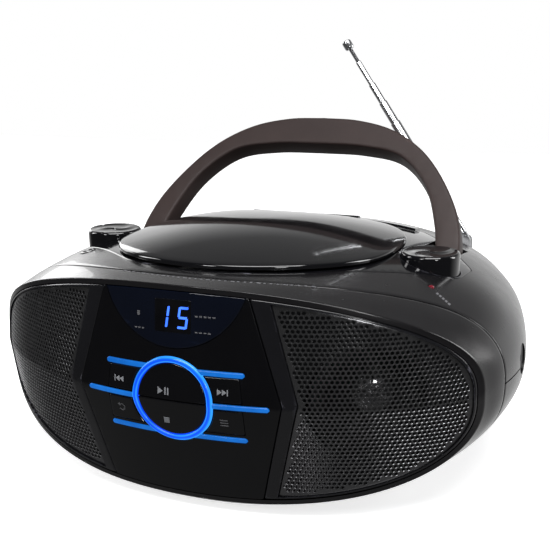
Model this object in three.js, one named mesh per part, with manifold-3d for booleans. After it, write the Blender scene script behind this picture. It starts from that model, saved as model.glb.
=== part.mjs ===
// Portable CD radio with a carrying handle and a telescopic antenna.
// Millimetres, +Z up, -Y is the front, origin at the bottom centre of the case.
import * as THREE from 'three'
import { mergeVertices } from 'three/addons/utils/BufferGeometryUtils.js'
import Module from 'manifold-3d'

const wasm = await Module()
wasm.setup()

// ---------- driving dimensions ----------
const HALF_WIDTH = 147.3
const HALF_DEPTH = 115
const MID_Z = 60            // height of the widest line, where top and bottom shells meet
const WALL = 2.5
const CROWN = 59.4          // height of the case top above the widest line
const GAP = 0.3             // between neighbouring pieces
const RIM = { width: 137.8, rise: 55.9, drop: 54.4, topPower: 2.32, bottomPower: 2.56 }
const LEAN_TOP = 5          // how far the front leans back at the top and at the bottom
const LEAN_BOTTOM = 11
const FRONT_BULGE = 111     // the front face is part of a rounded plan this deep
const FRONT_REACH = 154.5   // and this wide on each side
const BULGE_POWER = 2.05
const LEAN_OVER = 54        // height over which the front leans by these amounts

const LID = { y: -6, radius: 78, rear: 67.8, top: 128.5, wall: 2, frontFall: 2, rearFall: 3.6 }
const LID_PIVOT = { y: 66, z: 116, barrel: 3, pin: 1, reach: 35 }
const HINGE_COVER = { reach: 70, y0: 67.2, y1: 78, thick: 1.7 }
const LID_EARS = [-25, 25]
const WELL = { radius: 66, floor: 98, thick: 2 }
const HUB = { seat: 11, nose: 7.4, seatZ: 101.5, topZ: 106.5 }
const KNOB = { x: 96.6, y: -2, radius: 15.6, bottom: 101.2, top: 116 }
const HANDLE = { y: 37.3, z: 93.5, lean: 41, thick: 13, end: 6.5, pin: 2, back: 106.6 }
const LEG = { inner: 89.5, outer: 103 }
const SLOT = { x0: 85.8, x1: 103.7, y0: 29.5, y1: 61, floor: 86.1, wall: 2.3 }
const RING = { inner: 18.6, outer: 21.4, z: 60 }
const BAR = { half: 1.2, rows: [[15.4, 36.8], [-0.3, 48.6], [-17.8, 36.8]] }
const GRILLE_INSET = 4.3    // from the rim to the grille
const SPEAKER = { x: 92, y: -82.3, z: 61, tilt: 28, radius: 32 }
const BAY = { x: 50.5, y0: 33, y1: 112.2, z0: 28.8, z1: 56.4, wall: 1.8 }
const ANTENNA = { x: 92, y: 110.6, z: 98.9, lean: 33.4 }
const JACK = { y: -4, z: 63, hole: 8, face: 146 }
const MODE = { x: -92, y: -38.5, z: 109.8, radius: 4.4, roll: 15, pitch: 3 }
const LAMP = { x: 105.3, y: -34.5, top: 106.3, radius: 1.5 }
const FEET = { x: 80, front: -46, rear: 62, radius: 9 }
const MAIN_TUBE = 82

// ---------- materials ----------
const finish = (color, roughness, metalness = 0) =>
  new THREE.MeshStandardMaterial({ color, roughness, metalness })
const SATIN = [0x2b2a2d, 0.42]
const GLOSS = [0x08080a, 0.12]
const HANDLE_FINISH = [0x4a4242, 0.4]
const STEEL = [0xb8bbc0, 0.3, 1]
const CHROME = [0xd8dadd, 0.12, 1]
const RUBBER = [0x141414, 0.9]
const BOARD = [0x1f4a2c, 0.6]
const BLUE = [0x1d6dff, 0.3]

// ---------- solids ----------
function toSolid(geometry) {
  const bare = geometry.clone()
  bare.deleteAttribute('normal')
  bare.deleteAttribute('uv')
  const merged = mergeVertices(bare, 1e-4)
  const vertProperties = new Float32Array(merged.attributes.position.array)
  const triVerts = new Uint32Array(merged.index.array)
  return new wasm.Manifold(new wasm.Mesh({ numProp: 3, vertProperties, triVerts }))
}

function toGeometry(solid) {
  const mesh = solid.getMesh()
  const geometry = new THREE.BufferGeometry()
  geometry.setAttribute('position', new THREE.BufferAttribute(mesh.vertProperties, 3))
  geometry.setIndex(new THREE.BufferAttribute(mesh.triVerts, 1))
  return geometry
}

function box(x0, x1, y0, y1, z0, z1) {
  const geometry = new THREE.BoxGeometry(x1 - x0, y1 - y0, z1 - z0)
  geometry.translate((x0 + x1) / 2, (y0 + y1) / 2, (z0 + z1) / 2)
  return toSolid(geometry)
}

// A cylinder from one end point along a direction.
function rod(radius, length, start, direction, sides = 16) {
  const geometry = new THREE.CylinderGeometry(radius, radius, length, sides)
  geometry.translate(0, length / 2, 0)
  const turn = new THREE.Quaternion()
  turn.setFromUnitVectors(new THREE.Vector3(0, 1, 0), new THREE.Vector3(...direction).normalize())
  geometry.applyQuaternion(turn)
  geometry.translate(...start)
  return toSolid(geometry)
}

// A turned shape about +Z: profile is [radius, height] points that start and end on the axis
// or close on themselves.
function turned(profile, sides = 48) {
  const points = profile.map(([r, z]) => new THREE.Vector2(r, z))
  const geometry = new THREE.LatheGeometry(points, sides)
  geometry.rotateX(Math.PI / 2)
  return toSolid(orientOutward(geometry))
}

function shapeOf(outline) {
  return new THREE.Shape(outline.map(([a, b]) => new THREE.Vector2(a, b)))
}

function extruded(outline, depth) {
  return new THREE.ExtrudeGeometry(shapeOf(outline), { depth, bevelEnabled: false, steps: 1 })
}

// Prisms whose outlines lie in the XY, XZ and YZ planes.
function prismZ(outline, z0, z1) {
  const geometry = extruded(outline, z1 - z0)
  geometry.translate(0, 0, z0)
  return toSolid(geometry)
}

function prismY(outline, y0, y1) {
  const geometry = extruded(outline, y1 - y0)
  geometry.rotateX(Math.PI / 2)
  geometry.translate(0, y1, 0)
  return toSolid(geometry)
}

function prismX(outline, x0, x1) {
  const geometry = extruded(outline, x1 - x0)
  const basis = new THREE.Matrix4().makeBasis(
    new THREE.Vector3(0, 1, 0), new THREE.Vector3(0, 0, 1), new THREE.Vector3(1, 0, 0))
  geometry.applyMatrix4(basis)
  geometry.translate(x0, 0, 0)
  return toSolid(geometry)
}

function orientOutward(geometry) {
  const p = geometry.attributes.position
  const index = geometry.index.array
  const [a, b, c] = [new THREE.Vector3(), new THREE.Vector3(), new THREE.Vector3()]
  let volume = 0
  for (let i = 0; i < index.length; i += 3) {
    a.fromBufferAttribute(p, index[i])
    b.fromBufferAttribute(p, index[i + 1])
    c.fromBufferAttribute(p, index[i + 2])
    volume += a.dot(b.cross(c))
  }
  if (volume < 0) {
    for (let i = 0; i < index.length; i += 3) {
      const first = index[i]
      index[i] = index[i + 1]
      index[i + 1] = first
    }
  }
  return geometry
}

// A sheet with thickness: two grids of points joined at their borders. A ring closes on itself.
function sheet(outer, inner, rows, cols, ring = false) {
  const positions = []
  for (const face of [outer, inner]) {
    for (let i = 0; i <= rows; i++) {
      for (let j = 0; j <= cols; j++) positions.push(...face(i / rows, j / cols))
    }
  }
  const width = cols + 1
  const offset = width * (rows + 1)
  const at = (side, i, j) => side * offset + i * width + j
  const index = []
  const quad = (a, b, c, d) => index.push(a, b, c, a, c, d)
  for (let i = 0; i < rows; i++) {
    for (let j = 0; j < cols; j++) {
      quad(at(0, i, j), at(0, i, j + 1), at(0, i + 1, j + 1), at(0, i + 1, j))
      quad(at(1, i, j), at(1, i + 1, j), at(1, i + 1, j + 1), at(1, i, j + 1))
    }
  }
  for (let j = 0; j < cols; j++) {
    quad(at(0, 0, j), at(1, 0, j), at(1, 0, j + 1), at(0, 0, j + 1))
    quad(at(0, rows, j), at(0, rows, j + 1), at(1, rows, j + 1), at(1, rows, j))
  }
  for (let i = 0; i < rows && !ring; i++) {
    quad(at(0, i, 0), at(0, i + 1, 0), at(1, i + 1, 0), at(1, i, 0))
    quad(at(0, i, cols), at(1, i, cols), at(1, i + 1, cols), at(0, i + 1, cols))
  }
  const geometry = new THREE.BufferGeometry()
  geometry.setAttribute('position', new THREE.Float32BufferAttribute(positions, 3))
  geometry.setIndex(index)
  return toSolid(orientOutward(geometry))
}

// ---------- outlines ----------
function arcPoints(cx, cy, radius, from, to, steps) {
  const points = []
  for (let i = 0; i <= steps; i++) {
    const angle = THREE.MathUtils.degToRad(from + (to - from) * i / steps)
    points.push([cx + radius * Math.cos(angle), cy + radius * Math.sin(angle)])
  }
  return points
}

const circle = (cx, cy, radius, steps = 20) => arcPoints(cx, cy, radius, 0, 360 - 360 / steps, steps - 1)

// A sine or cosine bent so that the curve drawn with it is an oval of the given power.
const ovalPower = (value, power) => Math.sign(value) * Math.abs(value) ** (2 / power)

function oval(width, rise, drop, topPower, bottomPower, steps = 48) {
  const points = []
  for (let i = 0; i < steps; i++) {
    const angle = 2 * Math.PI * i / steps
    const power = Math.sin(angle) > 0 ? topPower : bottomPower
    const up = ovalPower(Math.sin(angle), power)
    points.push([width * ovalPower(Math.cos(angle), power), MID_Z + (up > 0 ? rise : drop) * up])
  }
  return points
}

// The rim of the front, drawn in by some distance.
function rimOval(inset) {
  return oval(RIM.width - inset, RIM.rise - inset, RIM.drop - inset, RIM.topPower, RIM.bottomPower)
}

// The convex outline round a set of points.
function hull(points) {
  const sorted = [...points].sort((p, q) => p[0] - q[0] || p[1] - q[1])
  const turn = (o, a, b) => (a[0] - o[0]) * (b[1] - o[1]) - (a[1] - o[1]) * (b[0] - o[0])
  const half = (list) => {
    const chain = []
    for (const point of list) {
      while (chain.length > 1 && turn(chain.at(-2), chain.at(-1), point) <= 1e-9) chain.pop()
      chain.push(point)
    }
    chain.pop()
    return chain
  }
  return [...half(sorted), ...half(sorted.reverse())]
}

const mirrored = (outline) => outline.map(([a, b]) => [-a, b]).reverse()

// ---------- the case surface ----------
// The front face: bulges forward in the middle and leans back above and below the widest line.
function frontY(x, z) {
  const reach = Math.min(Math.abs(x) / FRONT_REACH, 1)
  const bulge = FRONT_BULGE * (1 - (1 - reach ** BULGE_POWER) ** (1 / BULGE_POWER))
  const height = (z - MID_Z) / LEAN_OVER
  const lean = height > 0 ? LEAN_TOP * height : -LEAN_BOTTOM * height
  return -HALF_DEPTH + bulge + lean
}

// Cross-sections from the seam behind the front bezel to the rear wall.
const SECTIONS = [
  { width: 144, rise: 56.5, drop: 58.7, y: -37, reach: 58, back: 0 },
  { width: HALF_WIDTH, rise: CROWN, drop: 54.5, y: 0, reach: 0, back: 0 },
  { width: 138.8, rise: 57.8, drop: 56, y: 52, reach: 0, back: 0 },
  { width: 127.6, rise: 53, drop: 51.5, y: 87, reach: 0, back: 0 },
  { width: 120, rise: 50.5, drop: 48.5, y: 104, reach: 0, back: 1.2 },
  { width: 112, rise: 42, drop: 39, y: HALF_DEPTH, reach: 0, back: WALL },
]
const TOP_POWER = 2.45      // the sections are ovals fuller than an ellipse, whose power is 2
const BOTTOM_POWER = 2.44
const SEAM_AT = 1 / SECTIONS.length

function rib(angle, inset) {
  const sine = Math.sin(angle)
  const cosine = Math.cos(angle)
  const rimPower = sine > 0 ? RIM.topPower : RIM.bottomPower
  const rimX = (RIM.width - inset) * ovalPower(cosine, rimPower)
  const rimZ = MID_Z + ((sine > 0 ? RIM.rise : RIM.drop) - inset) * ovalPower(sine, rimPower)
  const points = [new THREE.Vector3(rimX, frontY(rimX, rimZ), rimZ)]
  for (const section of SECTIONS) {
    const power = sine > 0 ? TOP_POWER : BOTTOM_POWER
    const across = ovalPower(cosine, power)
    const up = ovalPower(sine, power)
    const height = (sine > 0 ? section.rise : section.drop) - inset
    const forward = section.reach * Math.abs(sine) ** 3.5
    const back = section.back * inset / WALL
    points.push(new THREE.Vector3(
      (section.width - inset) * across, section.y - forward - back, MID_Z + height * up))
  }
  return new THREE.CatmullRomCurve3(points)
}

// A piece of the case wall between two angles (degrees, 0 at +X, 90 on top) and two stations.
function caseWall(from, to, start, end, outset, inset, angles, stations) {
  const face = (depth) => {
    const ribs = []
    for (let j = 0; j <= angles; j++) {
      ribs.push(rib(THREE.MathUtils.degToRad(from + (to - from) * j / angles), depth))
    }
    return (u, v) => ribs[Math.round(v * angles)].getPoint(start + (end - start) * u).toArray()
  }
  return sheet(face(outset), face(inset), stations, angles, to - from === 360)
}

// Everything outside the inner face of the upper case wall, used to trim what sits inside.
const outsideTop = caseWall(-4, 184, 0, 1, -40, WALL + 2 * GAP, 20, 12)
const outsideBottom = caseWall(176, 364, 0, 1, -40, WALL + 2 * GAP, 20, 12)
// The lower half of the case with a small margin, used to trim the feet.
const coreBottom = caseWall(180, 360, 0, 1, -2 * GAP, 30, 24, 12)

// A slab that follows the front face, from one depth behind it to another.
function frontSlab(x0, x1, z0, z1, near, far, columns, rows) {
  const face = (depth) => (u, v) => {
    const x = x0 + (x1 - x0) * v
    const z = z0 + (z1 - z0) * u
    return [x, frontY(x, z) + depth, z]
  }
  return sheet(face(near), face(far), rows, columns)
}

const DEEP = 90             // prisms through the front run this far
const throughFront = (outline) => prismY(outline, -HALF_DEPTH - 10, -HALF_DEPTH + DEEP)
const throughDeck = (outline) => prismZ(outline, 70, 160)

// ---------- assembly ----------
const group = new THREE.Group()

function add(name, solid, look) {
  const mesh = new THREE.Mesh(toGeometry(solid), finish(...look))
  mesh.name = name
  group.add(mesh)
}

// ---------- front ----------
function panelOutline(grow) {
  const right = [[41.3, 9.3], [54.3, 61], [38.4, 112.2]].map(([x, z]) => [x + grow, z])
  return [[-right[0][0], 4], [right[0][0], 4], ...right, [right[2][0], 118], [-right[2][0], 118],
    ...mirrored(right)]
}

const rimOutline = rimOval(WALL + GAP)

// The bowl-shaped display window: a segment of a circle below a straight top edge.
function windowOutline(grow) {
  const radius = 39
  const centreZ = 124.6
  const top = 114
  const reach = Math.acos((centreZ - top) / radius) * 180 / Math.PI
  return arcPoints(0, centreZ, radius + grow, 270 - reach, 270 + reach, 12)
}

// Buttons beside the ring, above and below the middle bar.
function sideButtonOutline(upper, grow) {
  const low = upper ? 62 : 45.4
  const high = upper ? 74.2 : 57.8
  return [[20, low - grow], [36 + grow, low - grow], [upper ? 34.5 + grow : 36 + grow, high + grow],
    [20, high + grow]]
}

const ringDisc = (radius) => throughFront(circle(0, RING.z, radius, 28))

function sideButtonPrism(upper, left, grow) {
  const outline = sideButtonOutline(upper, grow)
  return throughFront(left ? mirrored(outline) : outline).subtract(ringDisc(RING.outer + 0.8 - grow))
}

function barPrism(grow) {
  const pieces = BAR.rows.map(([rise, reach]) => {
    const z = RING.z + rise
    const half = BAR.half + grow
    return throughFront([
      ...arcPoints(reach - BAR.half, z, half, -90, 90, 4),
      ...arcPoints(-reach + BAR.half, z, half, 90, 270, 4)])
  })
  return pieces[0].add(pieces[1]).add(pieces[2])
}

function buildFront() {
  const bezel = caseWall(0, 360, 0, SEAM_AT - 0.0018, 0, WALL, 52, 2)
  add('front_bezel', bezel, SATIN)

  const ring = ringDisc(RING.outer)
  const guideCut = ringDisc(RING.outer + GAP).add(barPrism(GAP))
  let panel = frontSlab(-60, 60, 4, 116, 0, 3, 10, 2)
    .intersect(throughFront(panelOutline(-0.15)))
    .intersect(throughFront(rimOutline))
    .subtract(guideCut)
    .subtract(throughFront(windowOutline(GAP)).intersect(frontSlab(-60, 60, 0, 120, -5, 1.6, 10, 2)))
    .subtract(throughFront([[-15, 91], [15, 91], [15, 107], [-15, 107]]))
  const keys = [
    ['skip_back_button', true, true], ['skip_forward_button', true, false],
    ['repeat_button', false, true], ['program_button', false, false]]
  for (const [name, upper, left] of keys) {
    panel = panel.subtract(sideButtonPrism(upper, left, GAP))
    const slab = frontSlab(-40, 40, 40, 80, -0.4, 3.6, 6, 2)
    add(name, slab.intersect(sideButtonPrism(upper, left, 0)), GLOSS)
  }
  add('center_panel', panel, GLOSS)
  add('display_window', frontSlab(-40, 40, 80, 116, 0, 1.3, 8, 1)
    .intersect(throughFront(windowOutline(0)))
    .intersect(throughFront(rimOutline)), [0x0a0f1e, 0.1])
  add('display_module', box(-14.5, 14.5, -108.6, -103, 91.5, 106.5), [0x101218, 0.4])

  const guide = frontSlab(-56, 56, 36, 84, -0.4, 2.6, 12, 2)
    .intersect(ring.add(barPrism(0)))
    .subtract(ringDisc(RING.inner))
  add('light_guide', guide, BLUE)

  const disc = frontSlab(-20, 20, 38, 82, -0.2, 3.8, 4, 2).intersect(ringDisc(RING.inner - GAP))
  const upperHalf = box(-30, 30, -130, -90, MID_Z + 0.25, 90)
  const lowerHalf = box(-30, 30, -130, -90, 30, MID_Z - 0.25)
  add('play_pause_button', disc.intersect(upperHalf), GLOSS)
  add('stop_button', disc.intersect(lowerHalf), GLOSS)
  add('front_board', box(-45, 45, -98, -96.4, 24, 101), BOARD)
}

function grilleOutline(grow) {
  const edge = [[47 + 1.5, 11.4], [60 + 1.5, 62], [46.9 + 1.5, 109.4]].map(([x, z]) => [x - grow, z])
  return [...edge.slice(0, 1).map(([x]) => [x, 5]), [150, 5], [150, 118], [edge[2][0], 118],
    ...edge.slice().reverse()]
}

function speakerFrame(side) {
  const tilt = THREE.MathUtils.degToRad(SPEAKER.tilt) * side
  return [Math.sin(tilt), -Math.cos(tilt), 0]
}

// Turns a solid built about +Z, facing +Z, so that it faces out of a speaker hole.
function faceOut(solid, side) {
  const geometry = toGeometry(solid)
  const turn = new THREE.Quaternion()
  turn.setFromUnitVectors(new THREE.Vector3(0, 0, 1), new THREE.Vector3(...speakerFrame(side)))
  geometry.applyQuaternion(turn)
  geometry.translate(SPEAKER.x * side, SPEAKER.y, SPEAKER.z)
  return toSolid(geometry)
}

function buildSpeakers() {
  const grilleRim = rimOval(GRILLE_INSET)
  const grilleHole = rimOval(GRILLE_INSET - GAP)
  for (const side of [-1, 1]) {
    const name = side < 0 ? 'left' : 'right'
    const place = (outline) => throughFront(side < 0 ? mirrored(outline) : outline)
    const x0 = side < 0 ? -142 : 30
    const slab = (near, far) => frontSlab(x0, x0 + 112, 4, 116, near, far, 12, 2)
    const opening = place(grilleOutline(GAP)).intersect(throughFront(grilleHole))
    const soundHole = faceOut(turned([[0, -8], [30, -8], [30, 40], [0, 40]], 24), side)
    const clearPanel = throughFront(panelOutline(0.15))
    const baffle = slab(0, 4.6)
      .intersect(throughFront(rimOutline))
      .subtract(clearPanel)
      .subtract(opening.intersect(slab(-6, 2.6)))
      .subtract(soundHole)
    const half = side < 0 ? box(-160, -20, -140, -20, 0, 130) : box(20, 160, -140, -20, 0, 130)
    add(`baffle_${name}`, baffle.intersect(half), GLOSS)
    const grille = slab(1.1, 2.3).intersect(place(grilleOutline(0))).intersect(throughFront(grilleRim))
    add(`grille_${name}`, grille.intersect(half), [0x0c0c0d, 0.35, 0.6])

    const basket = turned([
      [0, -27], [15.5, -27], [15.5, -15], [26, -2.5], [SPEAKER.radius, -2.5], [SPEAKER.radius, 0],
      [28.4, 0], [28.4, -1.4], [12, -14], [0, -14]], 14)
    add(`speaker_basket_${name}`, faceOut(basket, side), [0x3a3b3e, 0.45, 0.7])
    const cone = turned([
      [0, -5.2], [5, -6], [9.5, -8.6], [13.9, -10.8], [27.9, -0.9], [27.9, 0.3], [25.5, 0.9],
      [13.2, -9.4], [9, -7], [5, -4.6], [0, -3.8]], 14)
    add(`speaker_cone_${name}`, faceOut(cone, side), [0x17181a, 0.7])
  }
}

// ---------- case ----------
function deckOutline(grow) {
  const points = [
    ...circle(0, LID.y, 80.4 + grow, 40),
    ...circle(KNOB.x, KNOB.y, 17.6 + grow), ...circle(-KNOB.x, KNOB.y, 17.6 + grow),
    ...circle(106, 15, 9 + grow), ...circle(-106, 15, 9 + grow),
    ...circle(70, 72, 6 + grow), ...circle(-70, 72, 6 + grow)]
  return hull(points)
}

function handleSlot(side) {
  const [low, high] = side < 0 ? [-SLOT.x1, -SLOT.x0] : [SLOT.x0, SLOT.x1]
  return box(low, high, SLOT.y0, SLOT.y1, SLOT.floor, 160)
}

const modeAxis = new THREE.Vector3(
  -Math.sin(THREE.MathUtils.degToRad(MODE.roll)), -Math.sin(THREE.MathUtils.degToRad(MODE.pitch)), 1)
  .normalize()

function modeRod(radius, below, above) {
  const start = new THREE.Vector3(MODE.x, MODE.y, MODE.z).addScaledVector(modeAxis, -below)
  return rod(radius, below + above, start.toArray(), modeAxis.toArray())
}

const REAR = SECTIONS.at(-1)
const rearOutline = oval(REAR.width - 0.8, REAR.rise - 0.8, REAR.drop - 0.8, TOP_POWER, BOTTOM_POWER)

function hingeRod(radius, reach) {
  return rod(radius, 2 * reach, [-reach, LID_PIVOT.y, LID_PIVOT.z], [1, 0, 0], 16)
}

function buildCase() {
  const seam = SEAM_AT + 0.0018
  const wall = caseWall(0.12, 179.88, seam, 1, 0, WALL, 26, 9)
  const rearTop = prismY(rearOutline, HALF_DEPTH - WALL, HALF_DEPTH)
    .intersect(box(-200, 200, 100, 130, MID_Z + 0.2, 200))
  const top = wall.add(rearTop)
  const jackHole = rod(JACK.hole, 30, [130, JACK.y, JACK.z], [1, 0, 0], 20)
  const smallCuts = handleSlot(-1)
    .add(handleSlot(1))
    .add(modeRod(MODE.radius + GAP, 10, 10))
    .add(rod(LAMP.radius + GAP, 40, [LAMP.x, LAMP.y, 90], [0, 0, 1], 12))
  const shell = top
    .subtract(throughDeck(deckOutline(0)))
    .subtract(smallCuts)
    .subtract(jackHole)
    .subtract(rod(4.6, 30, [ANTENNA.x, ANTENNA.y, ANTENNA.z - 6.7], [0, 0, 1], 16))
    .subtract(rod(3.6, 20, [ANTENNA.x, ANTENNA.y, ANTENNA.z - 16], [0, 0, 1], 16))
  add('top_shell', shell, SATIN)

  let deck = top
    .intersect(throughDeck(deckOutline(-GAP)))
    .subtract(throughDeck(circle(0, LID.y, WELL.radius - 3, 32)))
    .subtract(hingeRod(LID_PIVOT.barrel + GAP, LID_PIVOT.reach + 1))
    .subtract(smallCuts)
  for (const side of [-1, 1]) {
    deck = deck.subtract(throughDeck(circle(KNOB.x * side, KNOB.y, KNOB.radius + 0.5)))
  }
  for (const x of LID_EARS) deck = deck.subtract(box(x - 6, x + 6, 60.5, 71, 90, 160))
  add('deck_plate', deck, GLOSS)

  const floorWall = caseWall(180.12, 359.88, seam, 1, 0, WALL, 26, 9)
  const rearLow = prismY(rearOutline, HALF_DEPTH - WALL, HALF_DEPTH)
    .intersect(box(-200, 200, 100, 130, -50, MID_Z - 0.2))
  const bottom = floorWall.add(rearLow)
    .subtract(box(-BAY.x, BAY.x, 100, 130, BAY.z0, BAY.z1))
    .subtract(jackHole)
    .subtract(box(68, 90, 100, 130, 42, 53))
  add('bottom_shell', bottom, SATIN)

  const door = box(-BAY.x + GAP, BAY.x - GAP, HALF_DEPTH - 2.2, HALF_DEPTH, BAY.z0 + GAP, BAY.z1 - GAP)
  const grip = box(-14, 14, HALF_DEPTH - 1, HALF_DEPTH + 5, BAY.z1 - 6, BAY.z1 - 3)
  add('battery_door', door.subtract(grip), SATIN)
  const tray = box(-BAY.x - BAY.wall, BAY.x + BAY.wall, BAY.y0 - BAY.wall, BAY.y1,
    BAY.z0 - BAY.wall, BAY.z1 + BAY.wall)
  const bay = box(-BAY.x, BAY.x, BAY.y0, 130, BAY.z0, BAY.z1)
  add('battery_tray', tray.subtract(bay).subtract(outsideBottom), [0x151516, 0.6])

  const inlet = box(68.3, 89.7, 98, HALF_DEPTH - 0.4, 42.3, 52.7)
    .subtract(box(71, 87, 106, 130, 44, 51))
    .add(rod(1.1, 7, [76, 105.6, 47.5], [0, 1, 0], 12))
    .add(rod(1.1, 7, [82, 105.6, 47.5], [0, 1, 0], 12))
  add('mains_inlet', inlet, [0x0c0c0c, 0.5])

  for (const [label, y] of [['front', FEET.front], ['rear', FEET.rear]]) {
    for (const side of [-1, 1]) {
      const foot = rod(FEET.radius, 24, [FEET.x * side, y, 0], [0, 0, 1]).subtract(coreBottom)
      add(`foot_${label}_${side < 0 ? 'left' : 'right'}`, foot, RUBBER)
    }
  }
}

// ---------- disc lid ----------
function lidPoint(u, v, drop) {
  const angle = 2 * Math.PI * v
  const cosine = Math.cos(angle)
  const sine = Math.sin(angle)
  const rear = sine > 0
  const power = rear ? 3.2 : 2
  const reach = (Math.abs(cosine / LID.radius) ** power
    + Math.abs(sine / (rear ? LID.rear : LID.radius)) ** power) ** (-1 / power)
  const x = reach * u * cosine
  const edgeX = Math.abs(reach * cosine / HALF_WIDTH)
  const fall = (rear ? LID.rearFall : LID.frontFall) * (reach * sine / LID.radius) ** 2
  const surface = MID_Z + (CROWN - fall) * (1 - edgeX ** TOP_POWER) ** (1 / TOP_POWER)
  const edge = surface + LID.wall + 0.7
  return [x, LID.y + reach * u * sine, edge + (LID.top - edge) * (1 - u * u) - drop]
}

function buildLid() {
  const sides = 36
  const rings = 4
  const positions = []
  const index = []
  for (const drop of [0, LID.wall]) {
    positions.push(...lidPoint(0, 0, drop))
    for (let i = 1; i <= rings; i++) {
      for (let j = 0; j < sides; j++) positions.push(...lidPoint(i / rings, j / sides, drop))
    }
  }
  const layer = 1 + rings * sides
  const at = (side, i, j) => side * layer + (i === 0 ? 0 : 1 + (i - 1) * sides + j % sides)
  for (let j = 0; j < sides; j++) {
    index.push(at(0, 0, 0), at(0, 1, j), at(0, 1, j + 1))
    index.push(at(1, 0, 0), at(1, 1, j + 1), at(1, 1, j))
    for (let i = 1; i < rings; i++) {
      index.push(at(0, i, j), at(0, i + 1, j), at(0, i + 1, j + 1))
      index.push(at(0, i, j), at(0, i + 1, j + 1), at(0, i, j + 1))
      index.push(at(1, i, j), at(1, i + 1, j + 1), at(1, i + 1, j))
      index.push(at(1, i, j), at(1, i, j + 1), at(1, i + 1, j + 1))
    }
    index.push(at(0, rings, j), at(1, rings, j), at(1, rings, j + 1))
    index.push(at(0, rings, j), at(1, rings, j + 1), at(0, rings, j + 1))
  }
  const geometry = new THREE.BufferGeometry()
  geometry.setAttribute('position', new THREE.Float32BufferAttribute(positions, 3))
  geometry.setIndex(index)
  let lid = toSolid(orientOutward(geometry))
  for (const x of LID_EARS) {
    const { y, z, barrel } = LID_PIVOT
    const arm = [[52, 118.4], [52, 120.4], [61.8, 118.6], [y, z + barrel], [y, z - barrel],
      [63.5, 114], [61.8, 117]]
    lid = lid.add(prismX(arm, x - 5, x + 5))
      .add(rod(barrel, 10, [x - 5, y, z], [1, 0, 0]))
  }
  lid = lid.subtract(hingeRod(LID_PIVOT.pin + 0.2, LID_PIVOT.reach))
  add('cd_lid', lid, GLOSS)

  const cover = caseWall(55, 125, 0.5, 0.8, -GAP - HINGE_COVER.thick, -GAP, 16, 6)
    .intersect(box(-HINGE_COVER.reach, HINGE_COVER.reach, HINGE_COVER.y0, HINGE_COVER.y1, 90, 140))
  let strip = hingeRod(LID_PIVOT.barrel, LID_PIVOT.reach)
    .add(cover)
    .subtract(hingeRod(LID_PIVOT.pin + 0.2, LID_PIVOT.reach + 1))
  for (const x of LID_EARS) {
    strip = strip.subtract(box(x - 5.5, x + 5.5, 50, LID_PIVOT.y + 3.4, 90, 140))
  }
  add('lid_hinge_strip', strip, GLOSS)
  add('lid_hinge_pin', hingeRod(LID_PIVOT.pin, LID_PIVOT.reach - 1), STEEL)
}

// ---------- disc drive ----------
function buildDrive() {
  const { radius, floor, thick } = WELL
  const bowl = turned([
    [12.5, floor - thick], [radius - 6, floor - thick], [radius, floor + 4], [radius, 126],
    [radius - thick, 126], [radius - thick, floor + 5], [radius - 6.6, floor], [12.5, floor],
    [12.5, floor - thick]], 28)
  const geometry = toGeometry(bowl)
  geometry.translate(0, LID.y, 0)
  const lensSlot = box(-7, 7, LID.y - 60, LID.y - 19, 80, floor + 3)
  const railBlocks = box(13, 20, -74, -69.5, 84, 104).add(box(13, 20, -16, -12, 84, floor - 0.5))
  const well = toSolid(geometry)
    .subtract(lensSlot)
    .add(railBlocks.subtract(rod(1.7, 90, [16.5, -90, 88], [0, 1, 0], 12)))
    .subtract(outsideTop)
  add('cd_well', well, [0x121214, 0.35])

  const motor = rod(13.5, 15, [0, LID.y, 78], [0, 0, 1])
    .subtract(rod(1.7, 20, [0, LID.y, 80], [0, 0, 1], 16))
  add('spindle_motor', motor, STEEL)
  const hub = turned([
    [0, 82], [1.5, 82], [1.5, HUB.seatZ - 2.2], [HUB.seat, HUB.seatZ - 2.2], [HUB.seat, HUB.seatZ],
    [HUB.nose, HUB.seatZ], [HUB.nose, HUB.topZ - 1.5], [HUB.nose - 1.5, HUB.topZ], [0, HUB.topZ]], 16)
  const hubGeometry = toGeometry(hub)
  hubGeometry.translate(0, LID.y, 0)
  add('spindle_hub', toSolid(hubGeometry), [0x1a1a1c, 0.35])

  const sled = box(-10, 20.2, -38, -22, 85, 92)
    .add(box(-5, 5, -35, -25, 91, 98.5))
    .subtract(rod(1.7, 40, [16.5, -50, 88], [0, 1, 0], 12))
  add('laser_sled', sled, [0x222226, 0.5])
  add('sled_rail', rod(1.5, 60, [16.5, -73, 88], [0, 1, 0], 12), STEEL)
  add('main_board', box(-62, 62, -30, 62, 63, 64.6), BOARD)
  add('transformer', box(-108, -66, 38, 74, 30, 64), [0x6b6258, 0.6])
}

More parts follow.
